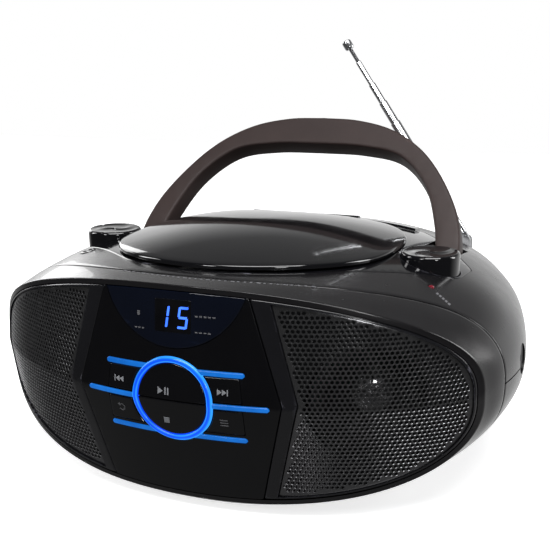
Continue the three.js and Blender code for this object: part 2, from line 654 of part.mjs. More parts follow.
// ---------- knobs and small controls ----------
function buildControls() {
  for (const [name, driver, side] of [
    ['volume_knob', 'volume_pot', -1], ['tuning_knob', 'tuning_capacitor', 1]]) {
    const knob = turned([
      [0, 110], [3.3, 110], [3.3, KNOB.bottom], [KNOB.radius - 0.3, KNOB.bottom],
      [KNOB.radius, KNOB.top - 1.4], [KNOB.radius - 1.4, KNOB.top], [0, KNOB.top]], 24)
    const geometry = toGeometry(knob)
    geometry.translate(KNOB.x * side, KNOB.y, 0)
    add(name, toSolid(geometry), GLOSS)
    const x = KNOB.x * side
    const body = box(x - 9, x + 9, KNOB.y - 9, KNOB.y + 9, 80, 92)
      .add(rod(3, 18, [x, KNOB.y, 91], [0, 0, 1], 16))
    add(driver, body.subtract(outsideTop), [0x8a8d90, 0.4, 0.8])
  }
  add('mode_button', modeRod(MODE.radius, 4, 0.2), GLOSS)
  add('stereo_lamp', rod(LAMP.radius, 6.5, [LAMP.x, LAMP.y, LAMP.top - 6.5], [0, 0, 1], 12), [0xb01018, 0.25])
  const jack = rod(JACK.hole - GAP, 14, [JACK.face - 14, JACK.y, JACK.z], [1, 0, 0], 20)
    .subtract(rod(1.8, 30, [JACK.face - 9, JACK.y, JACK.z], [1, 0, 0], 12))
  add('aux_jack', jack, [0x0b0b0c, 0.3])
}

// ---------- handle ----------
function handleOutline() {
  const outer = [[LEG.outer, 0], [101.6, 21], [94.4, 43.4], [72, 76.9], [48, 94.2], [23, 101.2], [0, 102.4]]
  const inner = [[0, 82.4], [30, 81.5], [55, 75.7], [74.3, 55.9], [85.2, 28.4], [88, 15], [LEG.inner, 0]]
  const smooth = (points) => {
    const curve = new THREE.CatmullRomCurve3(points.map(([x, h]) => new THREE.Vector3(x, h, 0)))
    return curve.getPoints(14).map((p) => [p.x, p.y])
  }
  const outerSide = smooth(outer)
  const innerSide = smooth(inner)
  return [...outerSide, ...mirrored(outerSide).slice(1), ...mirrored(innerSide),
    ...innerSide.slice(1)]
}

function buildHandle() {
  const half = HANDLE.thick / 2
  const outline = handleOutline()
  let solid = prismY(outline, -half, half)
  for (const side of [-1, 1]) {
    const x0 = side < 0 ? -LEG.outer : LEG.inner
    solid = solid
      .add(rod(HANDLE.end, LEG.outer - LEG.inner, [x0, 0, 0], [1, 0, 0], 32))
      .subtract(rod(HANDLE.pin + 0.2, 20, [x0 - 3, 0, 0], [1, 0, 0], 16))
  }
  const geometry = toGeometry(solid)
  geometry.rotateX(-THREE.MathUtils.degToRad(HANDLE.lean))
  geometry.translate(0, HANDLE.y, HANDLE.z)
  // the rear edge of the grip is flattened where the antenna swings past it
  const passage = box(-HALF_WIDTH, HALF_WIDTH, HANDLE.back, HANDLE.back + 10, HANDLE.z, 300)
  add('handle', toSolid(geometry).subtract(passage), HANDLE_FINISH)

  for (const side of [-1, 1]) {
    const name = side < 0 ? 'left' : 'right'
    const x0 = side * (SLOT.x0 - SLOT.wall)
    const x1 = side * (SLOT.x1 + SLOT.wall)
    const pinEnd = Math.min(x0, x1) + 0.6
    const pinAt = [pinEnd, HANDLE.y, HANDLE.z]
    const bracket = box(Math.min(x0, x1), Math.max(x0, x1), SLOT.y0 - SLOT.wall, SLOT.y1 + SLOT.wall,
      SLOT.floor - SLOT.wall, 120)
      .subtract(handleSlot(side))
      .subtract(outsideTop)
      .subtract(rod(HANDLE.pin + 0.2, 40, [pinEnd - 10, HANDLE.y, HANDLE.z], [1, 0, 0], 16))
    add(`handle_bracket_${name}`, bracket, [0x1a1a1b, 0.5])
    const pin = rod(HANDLE.pin, Math.abs(x1 - x0) - 1.2, pinAt, [1, 0, 0], 16)
    add(`handle_pin_${name}`, pin, STEEL)
  }
}

// ---------- antenna ----------
// Built upright with the tilt pin at the origin, then leaned over towards -X.
function leanAntenna(solid) {
  const geometry = toGeometry(solid)
  geometry.rotateY(-THREE.MathUtils.degToRad(ANTENNA.lean))
  geometry.translate(ANTENNA.x, ANTENNA.y, ANTENNA.z)
  return toSolid(geometry)
}

function buildAntenna() {
  const { x, y, z } = ANTENNA
  const socket = rod(3.3, 7.8, [x, y, z - 14.2], [0, 0, 1])
  add('antenna_socket', socket, [0x161617, 0.4])
  const ear = (y0, y1) => box(x - 3, x + 3, y0, y1, z - 4.6, z).add(rod(3, y1 - y0, [x, y0, z], [0, 1, 0]))
  const swivel = rod(3.8, 1.9, [x, y, z - 6.1], [0, 0, 1])
    .add(ear(y - 3.2, y - 1.7))
    .add(ear(y + 1.7, y + 3.2))
    .add(rod(1, 6, [x, y - 3, z], [0, 1, 0], 12))
  add('antenna_swivel', swivel, CHROME)

  const tongue = box(-2.6, 2.6, -1.4, 1.4, 0, 6).add(rod(2.6, 2.8, [0, -1.4, 0], [0, 1, 0]))
  const pinHole = rod(1.2, 8, [0, -4, 0], [0, 1, 0], 12)
  const tube = (radius, from, to) => turned([
    [0, from], [radius, from], [radius, to], [radius - 0.35, to], [radius - 0.35, from + 1.5],
    [0, from + 1.5]], 16)
  const radii = [3.2, 2.7, 2.2, 1.7]
  const exposed = [MAIN_TUBE, 15, 13.5, 16.5]
  const hidden = [0, 62, 58, 52]
  let end = 5
  for (const [k, radius] of radii.entries()) {
    const start = end - hidden[k]
    end += exposed[k]
    const plain = tube(radius, start, end)
    const solid = k === 0 ? plain.add(tongue).subtract(pinHole) : plain
    add(`antenna_tube_${k + 1}`, leanAntenna(solid), CHROME)
  }
  const rodShape = turned([
    [0, end - 48], [1.2, end - 48], [1.2, end + 9.5], [2.6, end + 9.5], [3, end + 10.5],
    [3, end + 14.5], [2.2, end + 15.5], [0, end + 15.5]], 16)
  add('antenna_rod', leanAntenna(rodShape), CHROME)
}

buildFront()
buildSpeakers()
buildCase()
buildLid()
buildDrive()
buildControls()
buildHandle()
buildAntenna()

export default group
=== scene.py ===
from math import acos, asin, atan2, cos, degrees, hypot, pi, radians, sin, sqrt, tan, tanh

import bmesh
import bpy
import numpy as np
from mathutils import Matrix, Vector
from mathutils.bvhtree import BVHTree


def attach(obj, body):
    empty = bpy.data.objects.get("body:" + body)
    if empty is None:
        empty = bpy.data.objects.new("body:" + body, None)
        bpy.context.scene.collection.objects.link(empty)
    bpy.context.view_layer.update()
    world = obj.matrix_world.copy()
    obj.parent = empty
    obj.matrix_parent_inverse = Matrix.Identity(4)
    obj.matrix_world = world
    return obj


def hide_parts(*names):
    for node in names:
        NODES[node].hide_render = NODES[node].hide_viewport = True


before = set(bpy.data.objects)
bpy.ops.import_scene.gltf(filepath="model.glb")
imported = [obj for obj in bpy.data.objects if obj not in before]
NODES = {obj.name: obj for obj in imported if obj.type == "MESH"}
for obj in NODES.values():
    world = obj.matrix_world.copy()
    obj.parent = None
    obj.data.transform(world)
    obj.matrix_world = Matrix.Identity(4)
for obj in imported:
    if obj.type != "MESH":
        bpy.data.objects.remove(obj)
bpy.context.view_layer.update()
MM = 0.001

# ---------- driving dimensions ----------
HALF_WIDTH = 147.3
HALF_DEPTH = 115
MID_Z = 60
WALL = 2.5
FRONT_CUT = (-130, -90)      # from ahead of the front to behind its skin
DECK_CUT = (70, 160)         # from under the deck to above the lid
CROWN = 59.4
GAP = 0.3
RIM_WIDTH, RIM_RISE, RIM_DROP = 137.8, 55.9, 54.4
RIM_TOP_POWER, RIM_BOTTOM_POWER = 2.32, 2.56
LEAN_TOP, LEAN_BOTTOM, LEAN_OVER = 5, 11, 54
FRONT_BULGE, FRONT_REACH, BULGE_POWER = 111, 154.5, 2.05
TOP_POWER, BOTTOM_POWER = 2.45, 2.44
# width, rise, drop, y, forward reach, setback of the inner face
SECTIONS = [
    (144, 56.5, 58.7, -37, 58, 0),
    (HALF_WIDTH, CROWN, 54.5, 0, 0, 0),
    (138.8, 57.8, 56, 52, 0, 0),
    (127.6, 53, 51.5, 87, 0, 0),
    (120, 50.5, 48.5, 104, 0, 1.2),
    (112, 42, 39, HALF_DEPTH, 0, WALL),
]
SEAM_AT = 1 / len(SECTIONS)
SEAM_HALF = 0.0018           # half the gap there, along the ribs
LID_Y, LID_RADIUS, LID_REAR, LID_TOP, LID_WALL = -6, 78, 67.8, 128.5, 2
LID_FRONT_FALL, LID_REAR_FALL = 2, 3.6
PIVOT_Y, PIVOT_Z, BARREL, PIN = 66, 116, 3, 1
EARS = (-25, 25)
WELL_RADIUS = 66
KNOB_X, KNOB_Y, KNOB_RADIUS, KNOB_BOTTOM, KNOB_TOP = 96.6, -2, 15.6, 101.2, 116
HANDLE_Y, HANDLE_Z, HANDLE_LEAN, HANDLE_THICK, HANDLE_END, HANDLE_BACK = 37.3, 93.5, 41, 13, 6.5, 106.6
LEG_INNER, LEG_OUTER = 89.5, 103
SLOT = (85.8, 103.7, 29.5, 61, 86.1)
RING_INNER, RING_OUTER = 18.6, 21.4
WINDOW_RADIUS, WINDOW_Z, WINDOW_TOP = 39, 124.6, 114
ROUND_KEY_PROUD, SIDE_KEY_PROUD = 0.26, 0.46    # of the printed symbols
BAR_HALF = 1.2
BAR_ROWS = [(15.4, 36.8), (-0.3, 48.6), (-17.8, 36.8)]
GRILLE_INSET = 4.3
SPEAKER_X, SPEAKER_Y, SPEAKER_Z, SPEAKER_TILT = 92, -82.3, 61, 28
ANTENNA = (92, 110.6, 98.9)
ANTENNA_LEAN = 33.4
MAIN_TUBE = 82
JACK_Y, JACK_Z, JACK_HOLE = -4, 63, 8
MODE_AT, MODE_RADIUS, MODE_ROLL, MODE_PITCH = (-92, -38.5, 109.8), 4.4, 15, 3
LAMP_X, LAMP_Y, LAMP_TOP, LAMP_RADIUS = 105.3, -34.5, 106.3, 1.5
BAY_X, BAY_Z0, BAY_Z1 = 50.5, 28.8, 56.4
INLET_HOLE = (68, 90, 100, 130, 42, 53)


# ---------- the case surface ----------
def oval_power(value, power):
    return np.sign(value) * np.abs(value) ** (2 / power)


def front_y(x, z):
    """Depth of the front face at x, z."""
    reach = np.minimum(np.abs(x) / FRONT_REACH, 1)
    bulge = FRONT_BULGE * (1 - (1 - reach**BULGE_POWER) ** (1 / BULGE_POWER))
    height = (z - MID_Z) / LEAN_OVER
    return -HALF_DEPTH + bulge + np.where(height > 0, LEAN_TOP * height, -LEAN_BOTTOM * height)


def rib_points(angles, inset):
    """The control points of the case's ribs at these angles: one row per section."""
    sine, cosine = np.sin(angles), np.cos(angles)
    upper = sine > 0
    power = np.where(upper, RIM_TOP_POWER, RIM_BOTTOM_POWER)
    x = (RIM_WIDTH - inset) * oval_power(cosine, power)
    z = MID_Z + (np.where(upper, RIM_RISE, RIM_DROP) - inset) * oval_power(sine, power)
    rows = [np.stack([x, front_y(x, z), z], -1)]
    power = np.where(upper, TOP_POWER, BOTTOM_POWER)
    for width, rise, drop, y, reach, back in SECTIONS:
        height = np.where(upper, rise, drop) - inset
        depth = y - reach * np.abs(sine) ** 3.5 - back * inset / WALL
        across = (width - inset) * oval_power(cosine, power)
        rows.append(
            np.stack([across, depth + 0 * across, MID_Z + height * oval_power(sine, power)], -1)
        )
    return np.array(rows)


def along_rib(points, t):
    """A centripetal Catmull-Rom curve through the control points, at t from 0 to 1."""
    last = len(points) - 1
    k = min(int(t * last), last - 1)
    w = t * last - k
    p1, p2 = points[k], points[k + 1]
    p0 = points[k - 1] if k > 0 else 2 * points[0] - points[1]
    p3 = points[k + 2] if k + 2 <= last else 2 * points[last] - points[last - 1]
    d0, d1, d2 = (
        np.sqrt(np.linalg.norm(b - a, axis=-1, keepdims=True)) for a,
        b in ((p0, p1), (p1, p2), (p2, p3))
    )
    m1 = ((p1 - p0) / d0 - (p2 - p0) / (d0 + d1) + (p2 - p1) / d1) * d1
    m2 = ((p2 - p1) / d1 - (p3 - p1) / (d1 + d2) + (p3 - p2) / d2) * d1
    return p1 + m1 * w + (3 * (p2 - p1) - 2 * m1 - m2) * w**2 + (2 * (p1 - p2) + m1 + m2) * w**3


def wall_face(angles, stations, insets):
    return np.array([along_rib(rib_points(angles, inset), t) for t, inset in zip(stations, insets)])


def sheet(outer, inner, ring=False):
    """A closed skin between two grids of points."""
    rows, cols = outer.shape[:2]
    verts = np.concatenate([outer.reshape(-1, 3), inner.reshape(-1, 3)])
    offset = rows * cols
    wrap = cols if ring else cols - 1
    faces = []
    for i in range(rows - 1):
        for j in range(wrap):
            a, b = i * cols + j, i * cols + (j + 1) % cols
            faces.append((a, b, b + cols, a + cols))
            faces.append((a + offset, a + cols + offset, b + cols + offset, b + offset))
    for i in (0, rows - 1):
        for j in range(wrap):
            a, b = i * cols + j, i * cols + (j + 1) % cols
            faces.append((a, a + offset, b + offset, b))
    if not ring:
        for i in range(rows - 1):
            for j in (0, cols - 1):
                a, b = i * cols + j, (i + 1) * cols + j
                faces.append((a, b, b + offset, a + offset))
    return verts, faces


EDGE_STEPS = (0, 0.12, 0.4, 1)      # how far along a rounded edge its rows stand
EDGE_DROPS = (1, 0.52, 0.2, 0)      # and how far below the face, in edge radii


def case_wall(start, end, t0, t1, columns, rows, edge=0.5, edge_t=0.0022, ring=False):
    """A piece of the case wall between two angles in degrees, with rounded front and rear edges."""
    angles = np.radians(np.linspace(start, end, columns, endpoint=not ring))
    head = [t0 + edge_t * s for s in EDGE_STEPS]
    tail = [t1 - edge_t * s for s in reversed(EDGE_STEPS)]
    stations = head + list(np.linspace(t0 + edge_t, t1 - edge_t, rows)[1:-1]) + tail
    drops = [edge * d for d in EDGE_DROPS]
    insets = drops + [0] * (rows - 2) + drops[::-1]
    outer = wall_face(angles, stations, insets)
    inner = wall_face(angles, stations, [WALL] * len(stations))
    return sheet(outer, inner, ring)


# ---------- outlines ----------
def arc(cx, cy, radius, start, end, steps):
    return [
        (cx + radius * cos(radians(a)), cy + radius * sin(radians(a)))
        for a in np.linspace(start, end, steps + 1)
    ]


def circle(cx, cy, radius, steps=64):
    return arc(cx, cy, radius, 0, 360, steps)[:-1]


def oval(width, rise, drop, top_power, bottom_power, steps=240):
    angle = 2 * np.pi * (np.arange(steps) + 0.5) / steps
    power = np.where(np.sin(angle) > 0, top_power, bottom_power)
    up = oval_power(np.sin(angle), power)
    z = MID_Z + np.where(up > 0, rise, drop) * up
    return list(zip(width * oval_power(np.cos(angle), power), z))


def rim_oval(inset):
    return oval(
        RIM_WIDTH - inset, RIM_RISE - inset, RIM_DROP - inset, RIM_TOP_POWER, RIM_BOTTOM_POWER
    )


def mirrored(outline):
    return [(-a, b) for a, b in reversed(outline)]


def hull(points):
    points = sorted(points)

    def half(items):
        chain = []
        for p in items:
            while len(chain) > 1 and (
                (chain[-1][0] - chain[-2][0]) * (p[1] - chain[-2][1])
                - (chain[-1][1] - chain[-2][1]) * (p[0] - chain[-2][0])
            ) <= 1e-9:
                chain.pop()
            chain.append(p)
        return chain[:-1]

    return half(points) + half(points[::-1])


def clipped(outline, clip):
    """The part of an outline inside a convex clip outline that runs anticlockwise."""
    result = list(outline)
    for k, a in enumerate(clip):
        b = clip[(k + 1) % len(clip)]
        side = [(b[0] - a[0]) * (p[1] - a[1]) - (b[1] - a[1]) * (p[0] - a[0]) for p in result]
        kept = []
        for i, p in enumerate(result):
            q, sp, sq = result[i - 1], side[i], side[i - 1]
            if (sp >= 0) != (sq >= 0):
                w = sq / (sq - sp)
                kept.append((q[0] + (p[0] - q[0]) * w, q[1] + (p[1] - q[1]) * w))
            if sp >= 0:
                kept.append(p)
        result = kept
    return result


def rounded(outline, radius, steps=6, least=18):
    """The outline with its sharp corners turned into arcs."""
    points = [np.array(p, float) for p in outline]
    made = []
    for i, p in enumerate(points):
        a, b = points[i - 1] - p, points[(i + 1) % len(points)] - p
        la, lb = np.linalg.norm(a), np.linalg.norm(b)
        turn = pi - acos(float(np.clip(a @ b / (la * lb), -1, 1)))
        if degrees(turn) < least:
            made.append(tuple(p))
            continue
        reach = min(radius * tan(turn / 2), 0.45 * la, 0.45 * lb)
        start, end = p + a / la * reach, p + b / lb * reach
        for t in np.linspace(0, 1, steps + 1):
            made.append(tuple((1 - t) ** 2 * start + 2 * t * (1 - t) * p + t**2 * end))
    return made


PANEL_EDGE = [(41.3, 9.3), (54.3, 61), (38.4, 112.2)]
GRILLE_EDGE = [(48.5, 11.4), (61.5, 62), (48.4, 109.4)]


def edge_x(edge, z):
    return np.interp(z, [p[1] for p in edge], [p[0] for p in edge])


def side_region(inset, edge, grow):
    """The part of the front between a bent edge and the rim, on the right."""
    rim = [p for p in rim_oval(inset) if p[0] > edge_x(edge, p[1]) + grow]
    rim.sort(key=lambda p: atan2(p[1] - MID_Z, p[0] - 40))
    z_low, z_high = rim[0][1], rim[-1][1]
    corners = [(edge_x(edge, z) + grow, z) for z in (z_high, edge[1][1], z_low)]
    return rim + corners


def deck_outline(grow):
    knobs = [(side * KNOB_X, KNOB_Y, 17.6) for side in (-1, 1)]
    shoulders = [(side * 106, 15, 9) for side in (-1, 1)]
    rear = [(side * 70, 72, 6) for side in (-1, 1)]
    circles = [(0, LID_Y, 80.4)] + knobs + shoulders + rear
    return hull([p for x, y, r in circles for p in circle(x, y, r + grow, 120)])


# ---------- making meshes ----------
SCENE = bpy.context.scene


def link(name, mesh):
    obj = bpy.data.objects.new(name, mesh)
    SCENE.collection.objects.link(obj)
    return obj


def face_outwards(bm):
    bmesh.ops.recalc_face_normals(bm, faces=bm.faces)
    if bm.calc_volume(signed=True) < 0:
        bmesh.ops.reverse_faces(bm, faces=bm.faces)


def raw(verts, faces, name="raw"):
    """An object in millimetres with its faces turned outwards."""
    mesh = bpy.data.meshes.new(name)
    mesh.from_pydata([tuple(map(float, v)) for v in verts], [], faces)
    bm = bmesh.new()
    bm.from_mesh(mesh)
    bmesh.ops.remove_doubles(bm, verts=bm.verts, dist=1e-5)
    face_outwards(bm)
    bm.to_mesh(mesh)
    bm.free()
    return link(name, mesh)


def evaluated(obj):
    graph = bpy.context.evaluated_depsgraph_get()
    return bpy.data.meshes.new_from_object(obj.evaluated_get(graph))


def combine(obj, other, operation):
    """Joins, cuts or intersects obj with another object, which is used up."""
    mod = obj.modifiers.new("combine", "BOOLEAN")
    mod.operation = operation
    mod.solver = "MANIFOLD"
    mod.object = other
    mesh = evaluated(obj)
    obj.modifiers.clear()
    obj.data = mesh
    bpy.data.objects.remove(other)
    return obj


def cut(obj, *others):
    for other in others:
        combine(obj, other, "DIFFERENCE")
    return obj


AXIS_ORDER = {"x": (2, 0, 1), "y": (0, 2, 1), "z": (0, 1, 2)}


def prism(outline, axis, low, high):
    """An outline pushed along an axis: its points are (y, z), (x, z) or (x, y)."""
    order = AXIS_ORDER[axis]
    verts = []
    for level in (low, high):
        for a, b in outline:
            verts.append([(a, b, level)[k] for k in order])
    n = len(outline)
    faces = [tuple(range(n)), tuple(range(2 * n - 1, n - 1, -1))]
    faces += [(i, (i + 1) % n, n + (i + 1) % n, n + i) for i in range(n)]
    return raw(verts, faces)


def block(x0, x1, y0, y1, z0, z1):
    return prism([(x0, y0), (x1, y0), (x1, y1), (x0, y1)], "z", z0, z1)


def lathe(profile, sides=64):
    """A turned shape about Z from (radius, height) points, from axis to axis or closed."""
    verts, rings = [], []
    for r, z in profile:
        if r < 1e-6:
            rings.append([len(verts)] * sides)
            verts.append((0, 0, z))
        else:
            rings.append(list(range(len(verts), len(verts) + sides)))
            verts += [(r * cos(a), r * sin(a), z) for a in np.linspace(0, 2 * pi, sides, False)]
    faces = []
    closed = profile[0][0] > 1e-6
    pairs = list(zip(rings, rings[1:])) + ([(rings[-1], rings[0])] if closed else [])
    for low, high in pairs:
        for j in range(sides):
            k = (j + 1) % sides
            loop = list(dict.fromkeys((low[j], low[k], high[k], high[j])))
            if len(loop) > 2:
                faces.append(tuple(loop))
    return verts, faces


def turned(profile, matrix, sides=64):
    verts, faces = lathe(profile, sides)
    return raw([matrix @ Vector(v) for v in verts], faces)


def rod(radius, length, start, direction, sides=48):
    turn = Vector(direction).to_track_quat("Z", "Y").to_matrix().to_4x4()
    profile = [(0, 0), (radius, 0), (radius, length), (0, length)]
    return turned(profile, Matrix.Translation(start) @ turn, sides)


def flat_plate(outlines, thick, edge, steps=2):
    """A flat plate in X and Y with rounded edges, its thickness about z = 0."""
    curve = bpy.data.curves.new("flat", "CURVE")
    curve.dimensions = "2D"
    curve.fill_mode = "BOTH"
    curve.extrude = thick / 2 - edge
    curve.bevel_depth = edge
    curve.bevel_resolution = steps
    curve.offset = -edge
    for outline in outlines:
        spline = curve.splines.new("POLY")
        spline.points.add(len(outline) - 1)
        spline.use_cyclic_u = True
        for point, (a, b) in zip(spline.points, outline):
            point.co = (a, b, 0, 1)
    holder = link("flat", curve)
    mesh = evaluated(holder)
    bpy.data.objects.remove(holder)
    bpy.data.curves.remove(curve)
    return mesh


def bent_plate(outlines, thick, edge, spacing, bend, steps=2):
    """A flat plate cut into a grid, then laid on a surface by bend(u, v, w)."""
    mesh = flat_plate(outlines, thick, edge, steps)
    bm = bmesh.new()
    bm.from_mesh(mesh)
    bmesh.ops.remove_doubles(bm, verts=bm.verts, dist=1e-3)
    for axis in (0, 1):
        values = [v.co[axis] for v in bm.verts]
        normal = [0, 0, 0]
        normal[axis] = 1
        for level in np.arange(min(values) + spacing * 0.53, max(values), spacing):
            everything = bm.verts[:] + bm.edges[:] + bm.faces[:]
            bmesh.ops.bisect_plane(
                bm, geom=everything, plane_co=[n * level for n in normal], plane_no=normal
            )
    for v in bm.verts:
        v.co = bend(v.co.x, v.co.y, v.co.z)
    bmesh.ops.triangulate(bm, faces=[f for f in bm.faces if len(f.verts) > 4])
    face_outwards(bm)
    bm.to_mesh(mesh)
    bm.free()
    return link("plate", mesh)


def on_front(near, thick):
    """Lays a plate on the front face, its outer side this far behind the face."""
    return lambda u, v, w: (u, float(front_y(u, v)) + near + thick / 2 - w, v)


def front_plate(outlines, near, far, edge, spacing=3.0, steps=2):
    return bent_plate(outlines, far - near, edge, spacing, on_front(near, far - near), steps)


def finish(obj, name, body, material, replaces=(), angle=30):
    """Scales a piece to metres and gives it its name, finish and body."""
    obj.name = name
    obj.data.name = name
    obj.data.transform(Matrix.Scale(MM, 4))
    obj.data.materials.clear()
    obj.data.materials.append(material)
    obj.data.shade_smooth()
    obj.data.set_sharp_from_angle(angle=radians(angle))
    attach(obj, body)
    if replaces:
        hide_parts(*replaces)
    return obj


# ---------- materials ----------
def add_node(tree, kind):
    return tree.nodes.new("ShaderNode" + kind)


def join(source, target):
    source.id_data.links.new(source, target)


def put(node, values):
    """Sets a node's own sockets."""
    for key, value in values.items():
        node.inputs[key].default_value = value


def new_material(name):
    material = bpy.data.materials.new(name)
    material.use_nodes = True
    tree = material.node_tree
    shader = tree.nodes["Principled BSDF"]
    coords = add_node(tree, "TexCoord")
    return material, tree, shader, coords.outputs["Object"]


def noise(tree, coords, scale, detail=4, rough=0.55, stretch=None):
    if stretch:
        mapping = add_node(tree, "Mapping")
        mapping.inputs["Scale"].default_value = stretch
        join(coords, mapping.inputs["Vector"])
        coords = mapping.outputs["Vector"]
    node = add_node(tree, "TexNoise")
    put(node, {"Scale": scale, "Detail": detail, "Roughness": rough})
    join(coords, node.inputs["Vector"])
    return node.outputs["Fac"]


def ramp(tree, value, stops):
    node = add_node(tree, "ValToRGB")
    elements = node.color_ramp.elements
    while len(elements) < len(stops):
        elements.new(0.5)
    for element, (position, color) in zip(elements, stops):
        element.position = position
        element.color = (*color, 1)
    join(value, node.inputs["Fac"])
    return node.outputs["Color"]


def spread(tree, value, low, high, from_low=0.3, from_high=0.7):
    node = add_node(tree, "MapRange")
    put(node, {"From Min": from_low, "From Max": from_high, "To Min": low, "To Max": high})
    join(value, node.inputs["Value"])
    return node.outputs["Result"]


def scaled(color, factor):
    return tuple(min(1.0, c * factor) for c in color)


def surface(name, color, rough, vary=0.08, grain=1500, bump=0.08, edge_wear_and_sheen=1.6, metallic=0.0, coat=0.0,
            patch=45, stretch=None, specular=0.5):
    """A moulded, painted or metal surface with grain and smudges. Its edges are painted lighter: worn
    edges, and a painted highlight where the factor is large.
    """
    material, tree, shader, coords = new_material(name)
    broad = noise(tree, coords, patch)
    body = ramp(tree, broad, [(0.3, scaled(color, 0.9)), (0.7, scaled(color, 1.1))])
    geometry = add_node(tree, "NewGeometry")
    # Edges take a lighter colour: real wear at small factors, a painted highlight along the edges at
    # large ones (deck, trim).
    edges = spread(tree, geometry.outputs["Pointiness"], 0, 1, 0.53, 0.62)
    mix = add_node(tree, "Mix")
    mix.data_type = "RGBA"
    mix.inputs[7].default_value = (*scaled(color, edge_wear_and_sheen), 1)
    join(edges, mix.inputs[0])
    join(body, mix.inputs[6])
    join(mix.outputs[2], shader.inputs["Base Color"])
    smudge = noise(tree, coords, patch * 2.2, 6, 0.65, stretch)
    join(spread(tree, smudge, max(0.02, rough - vary), rough + vary), shader.inputs["Roughness"])
    relief = add_node(tree, "Bump")
    put(relief, {"Strength": bump, "Distance": 0.0001})
    join(noise(tree, coords, grain, 3, 0.5, stretch), relief.inputs["Height"])
    join(relief.outputs["Normal"], shader.inputs["Normal"])
    put(shader, {"Metallic": metallic, "Specular IOR Level": specular})
    put(shader, {"Coat Weight": coat, "Coat Roughness": 0.04})
    return material


def vector_math(tree, operation, vector, other=(0, 0, 0)):
    node = add_node(tree, "VectorMath")
    node.operation = operation
    node.inputs[1].default_value = other
    join(vector, node.inputs[0])
    return node


def ring_share(tree, coords):
    """0 at the light ring's inner edge and 1 at its outer edge."""
    offset = vector_math(tree, "SUBTRACT", coords, (0, 0, MID_Z * MM))
    flat = vector_math(tree, "MULTIPLY", offset.outputs["Vector"], (1, 0, 1))
    length = vector_math(tree, "LENGTH", flat.outputs["Vector"])
    return spread(tree, length.outputs["Value"], 0, 1, RING_INNER * MM, RING_OUTER * MM)


def ring_material():
    """A glowing tube: deep blue along its middle, paler along both edges as a painted highlight of a
    rounded tube, brighter in places.
    """
    material, tree, shader, coords = new_material("ring_light")
    painted_highlight_blue, deep = (0.03, 0.32, 1.0), (0.002, 0.06, 1.0)
    # The pale stops at the inner and outer edges are painted highlights; the deep blue between them is
    # the glow.
    stops = [(0.0, deep), (0.16, painted_highlight_blue), (0.4, deep), (0.72, (0.006, 0.13, 1.0)), (0.9, painted_highlight_blue)]
    color = ramp(tree, ring_share(tree, coords), stops)
    join(color, shader.inputs["Emission Color"])
    join(
        spread(tree, noise(tree, coords, 45, 2), 0.8, 1.5, 0.35, 0.65),
        shader.inputs["Emission Strength"]
    )
    base = ramp(
        tree, noise(tree, coords, 200), [(0.3, (0.001, 0.01, 0.10)), (0.7, (0.002, 0.02, 0.16))]
    )
    join(base, shader.inputs["Base Color"])
    join(spread(tree, noise(tree, coords, 300), 0.12, 0.22), shader.inputs["Roughness"])
    return material


def lit(name, low, high, strength, rough=0.25):
    """A lit light guide: its colour drifts a little along its length."""
    material, tree, shader, coords = new_material(name)
    drift = noise(tree, coords, 60, 2)
    color = ramp(tree, drift, [(0.35, low), (0.68, high)])
    join(color, shader.inputs["Emission Color"])
    shader.inputs["Emission Strength"].default_value = strength
    base = ramp(tree, drift, [(0.3, scaled(low, 0.2)), (0.7, scaled(low, 0.3))])
    join(base, shader.inputs["Base Color"])
    join(
        spread(tree, noise(tree, coords, 200), rough - 0.06, rough + 0.06),
        shader.inputs["Roughness"]
    )
    return material


POLISH = {"vary": 0.025, "grain": 900, "bump": 0.008, "coat": 0.5}
PRINT = {"vary": 0.06, "grain": 2000, "bump": 0.05, "edge_wear_and_sheen": 1.05}
SATIN = surface(
    "satin_shell", (0.0085, 0.008, 0.009), 0.25, vary=0.03, grain=2600, bump=0.04, coat=0.3
)
GLOSS = surface("gloss_black", (0.005, 0.005, 0.006), 0.09, **POLISH)
# The deck's edges are painted 22 times lighter: a painted highlight along its bevelled rim and seam.
DECK = surface("deck_black", (0.005, 0.005, 0.006), 0.09, edge_wear_and_sheen=22, **POLISH)
PANEL = surface("panel_black", (0.004, 0.004, 0.005), 0.14, vary=0.04, grain=1200, bump=0.03)
# The trim's edges are painted 9 times lighter: a painted highlight along its rim.
TRIM = surface(
    "trim_black", (0.010, 0.010, 0.012), 0.2, vary=0.03, grain=2000, bump=0.02, coat=0.4, edge_wear_and_sheen=9
)
KEY = surface("key_black", (0.005, 0.005, 0.006), 0.12, vary=0.03, grain=1200, bump=0.03, edge_wear_and_sheen=3)
WINDOW = surface(
    "smoked_window", (0.003, 0.0048, 0.012), 0.06, vary=0.02, grain=600, bump=0.01, coat=0.5
)
DISPLAY = surface("display_black", (0.001, 0.001, 0.002), 0.3, vary=0.05, grain=1500, bump=0.03)
BROWN = surface(
    "handle_brown", (0.036, 0.0235, 0.022), 0.5, vary=0.05, grain=2600, bump=0.08, specular=0.28
)
GRILLE = surface(
    "grille_paint", (0.16, 0.16, 0.165), 0.2, vary=0.05, grain=1800, bump=0.05, metallic=0.85
)
INNER = surface("inner_black", (0.012, 0.012, 0.013), 0.45, vary=0.08, grain=1500, bump=0.12)
STEEL = surface(
    "steel", (0.52, 0.53, 0.55), 0.3, grain=700, metallic=1, stretch=(1, 1, 14), edge_wear_and_sheen=1.2
)
CHROME = surface(
    "chrome", (0.72, 0.73, 0.75), 0.2, vary=0.04, grain=900, bump=0.003, metallic=0.95, edge_wear_and_sheen=1.02
)
CONE = surface("cone_paper", (0.016, 0.016, 0.018), 0.55, grain=900, bump=0.25)
CAP = surface("dust_cap", (0.45, 0.45, 0.46), 0.16, vary=0.04, grain=700, bump=0.03, metallic=1)
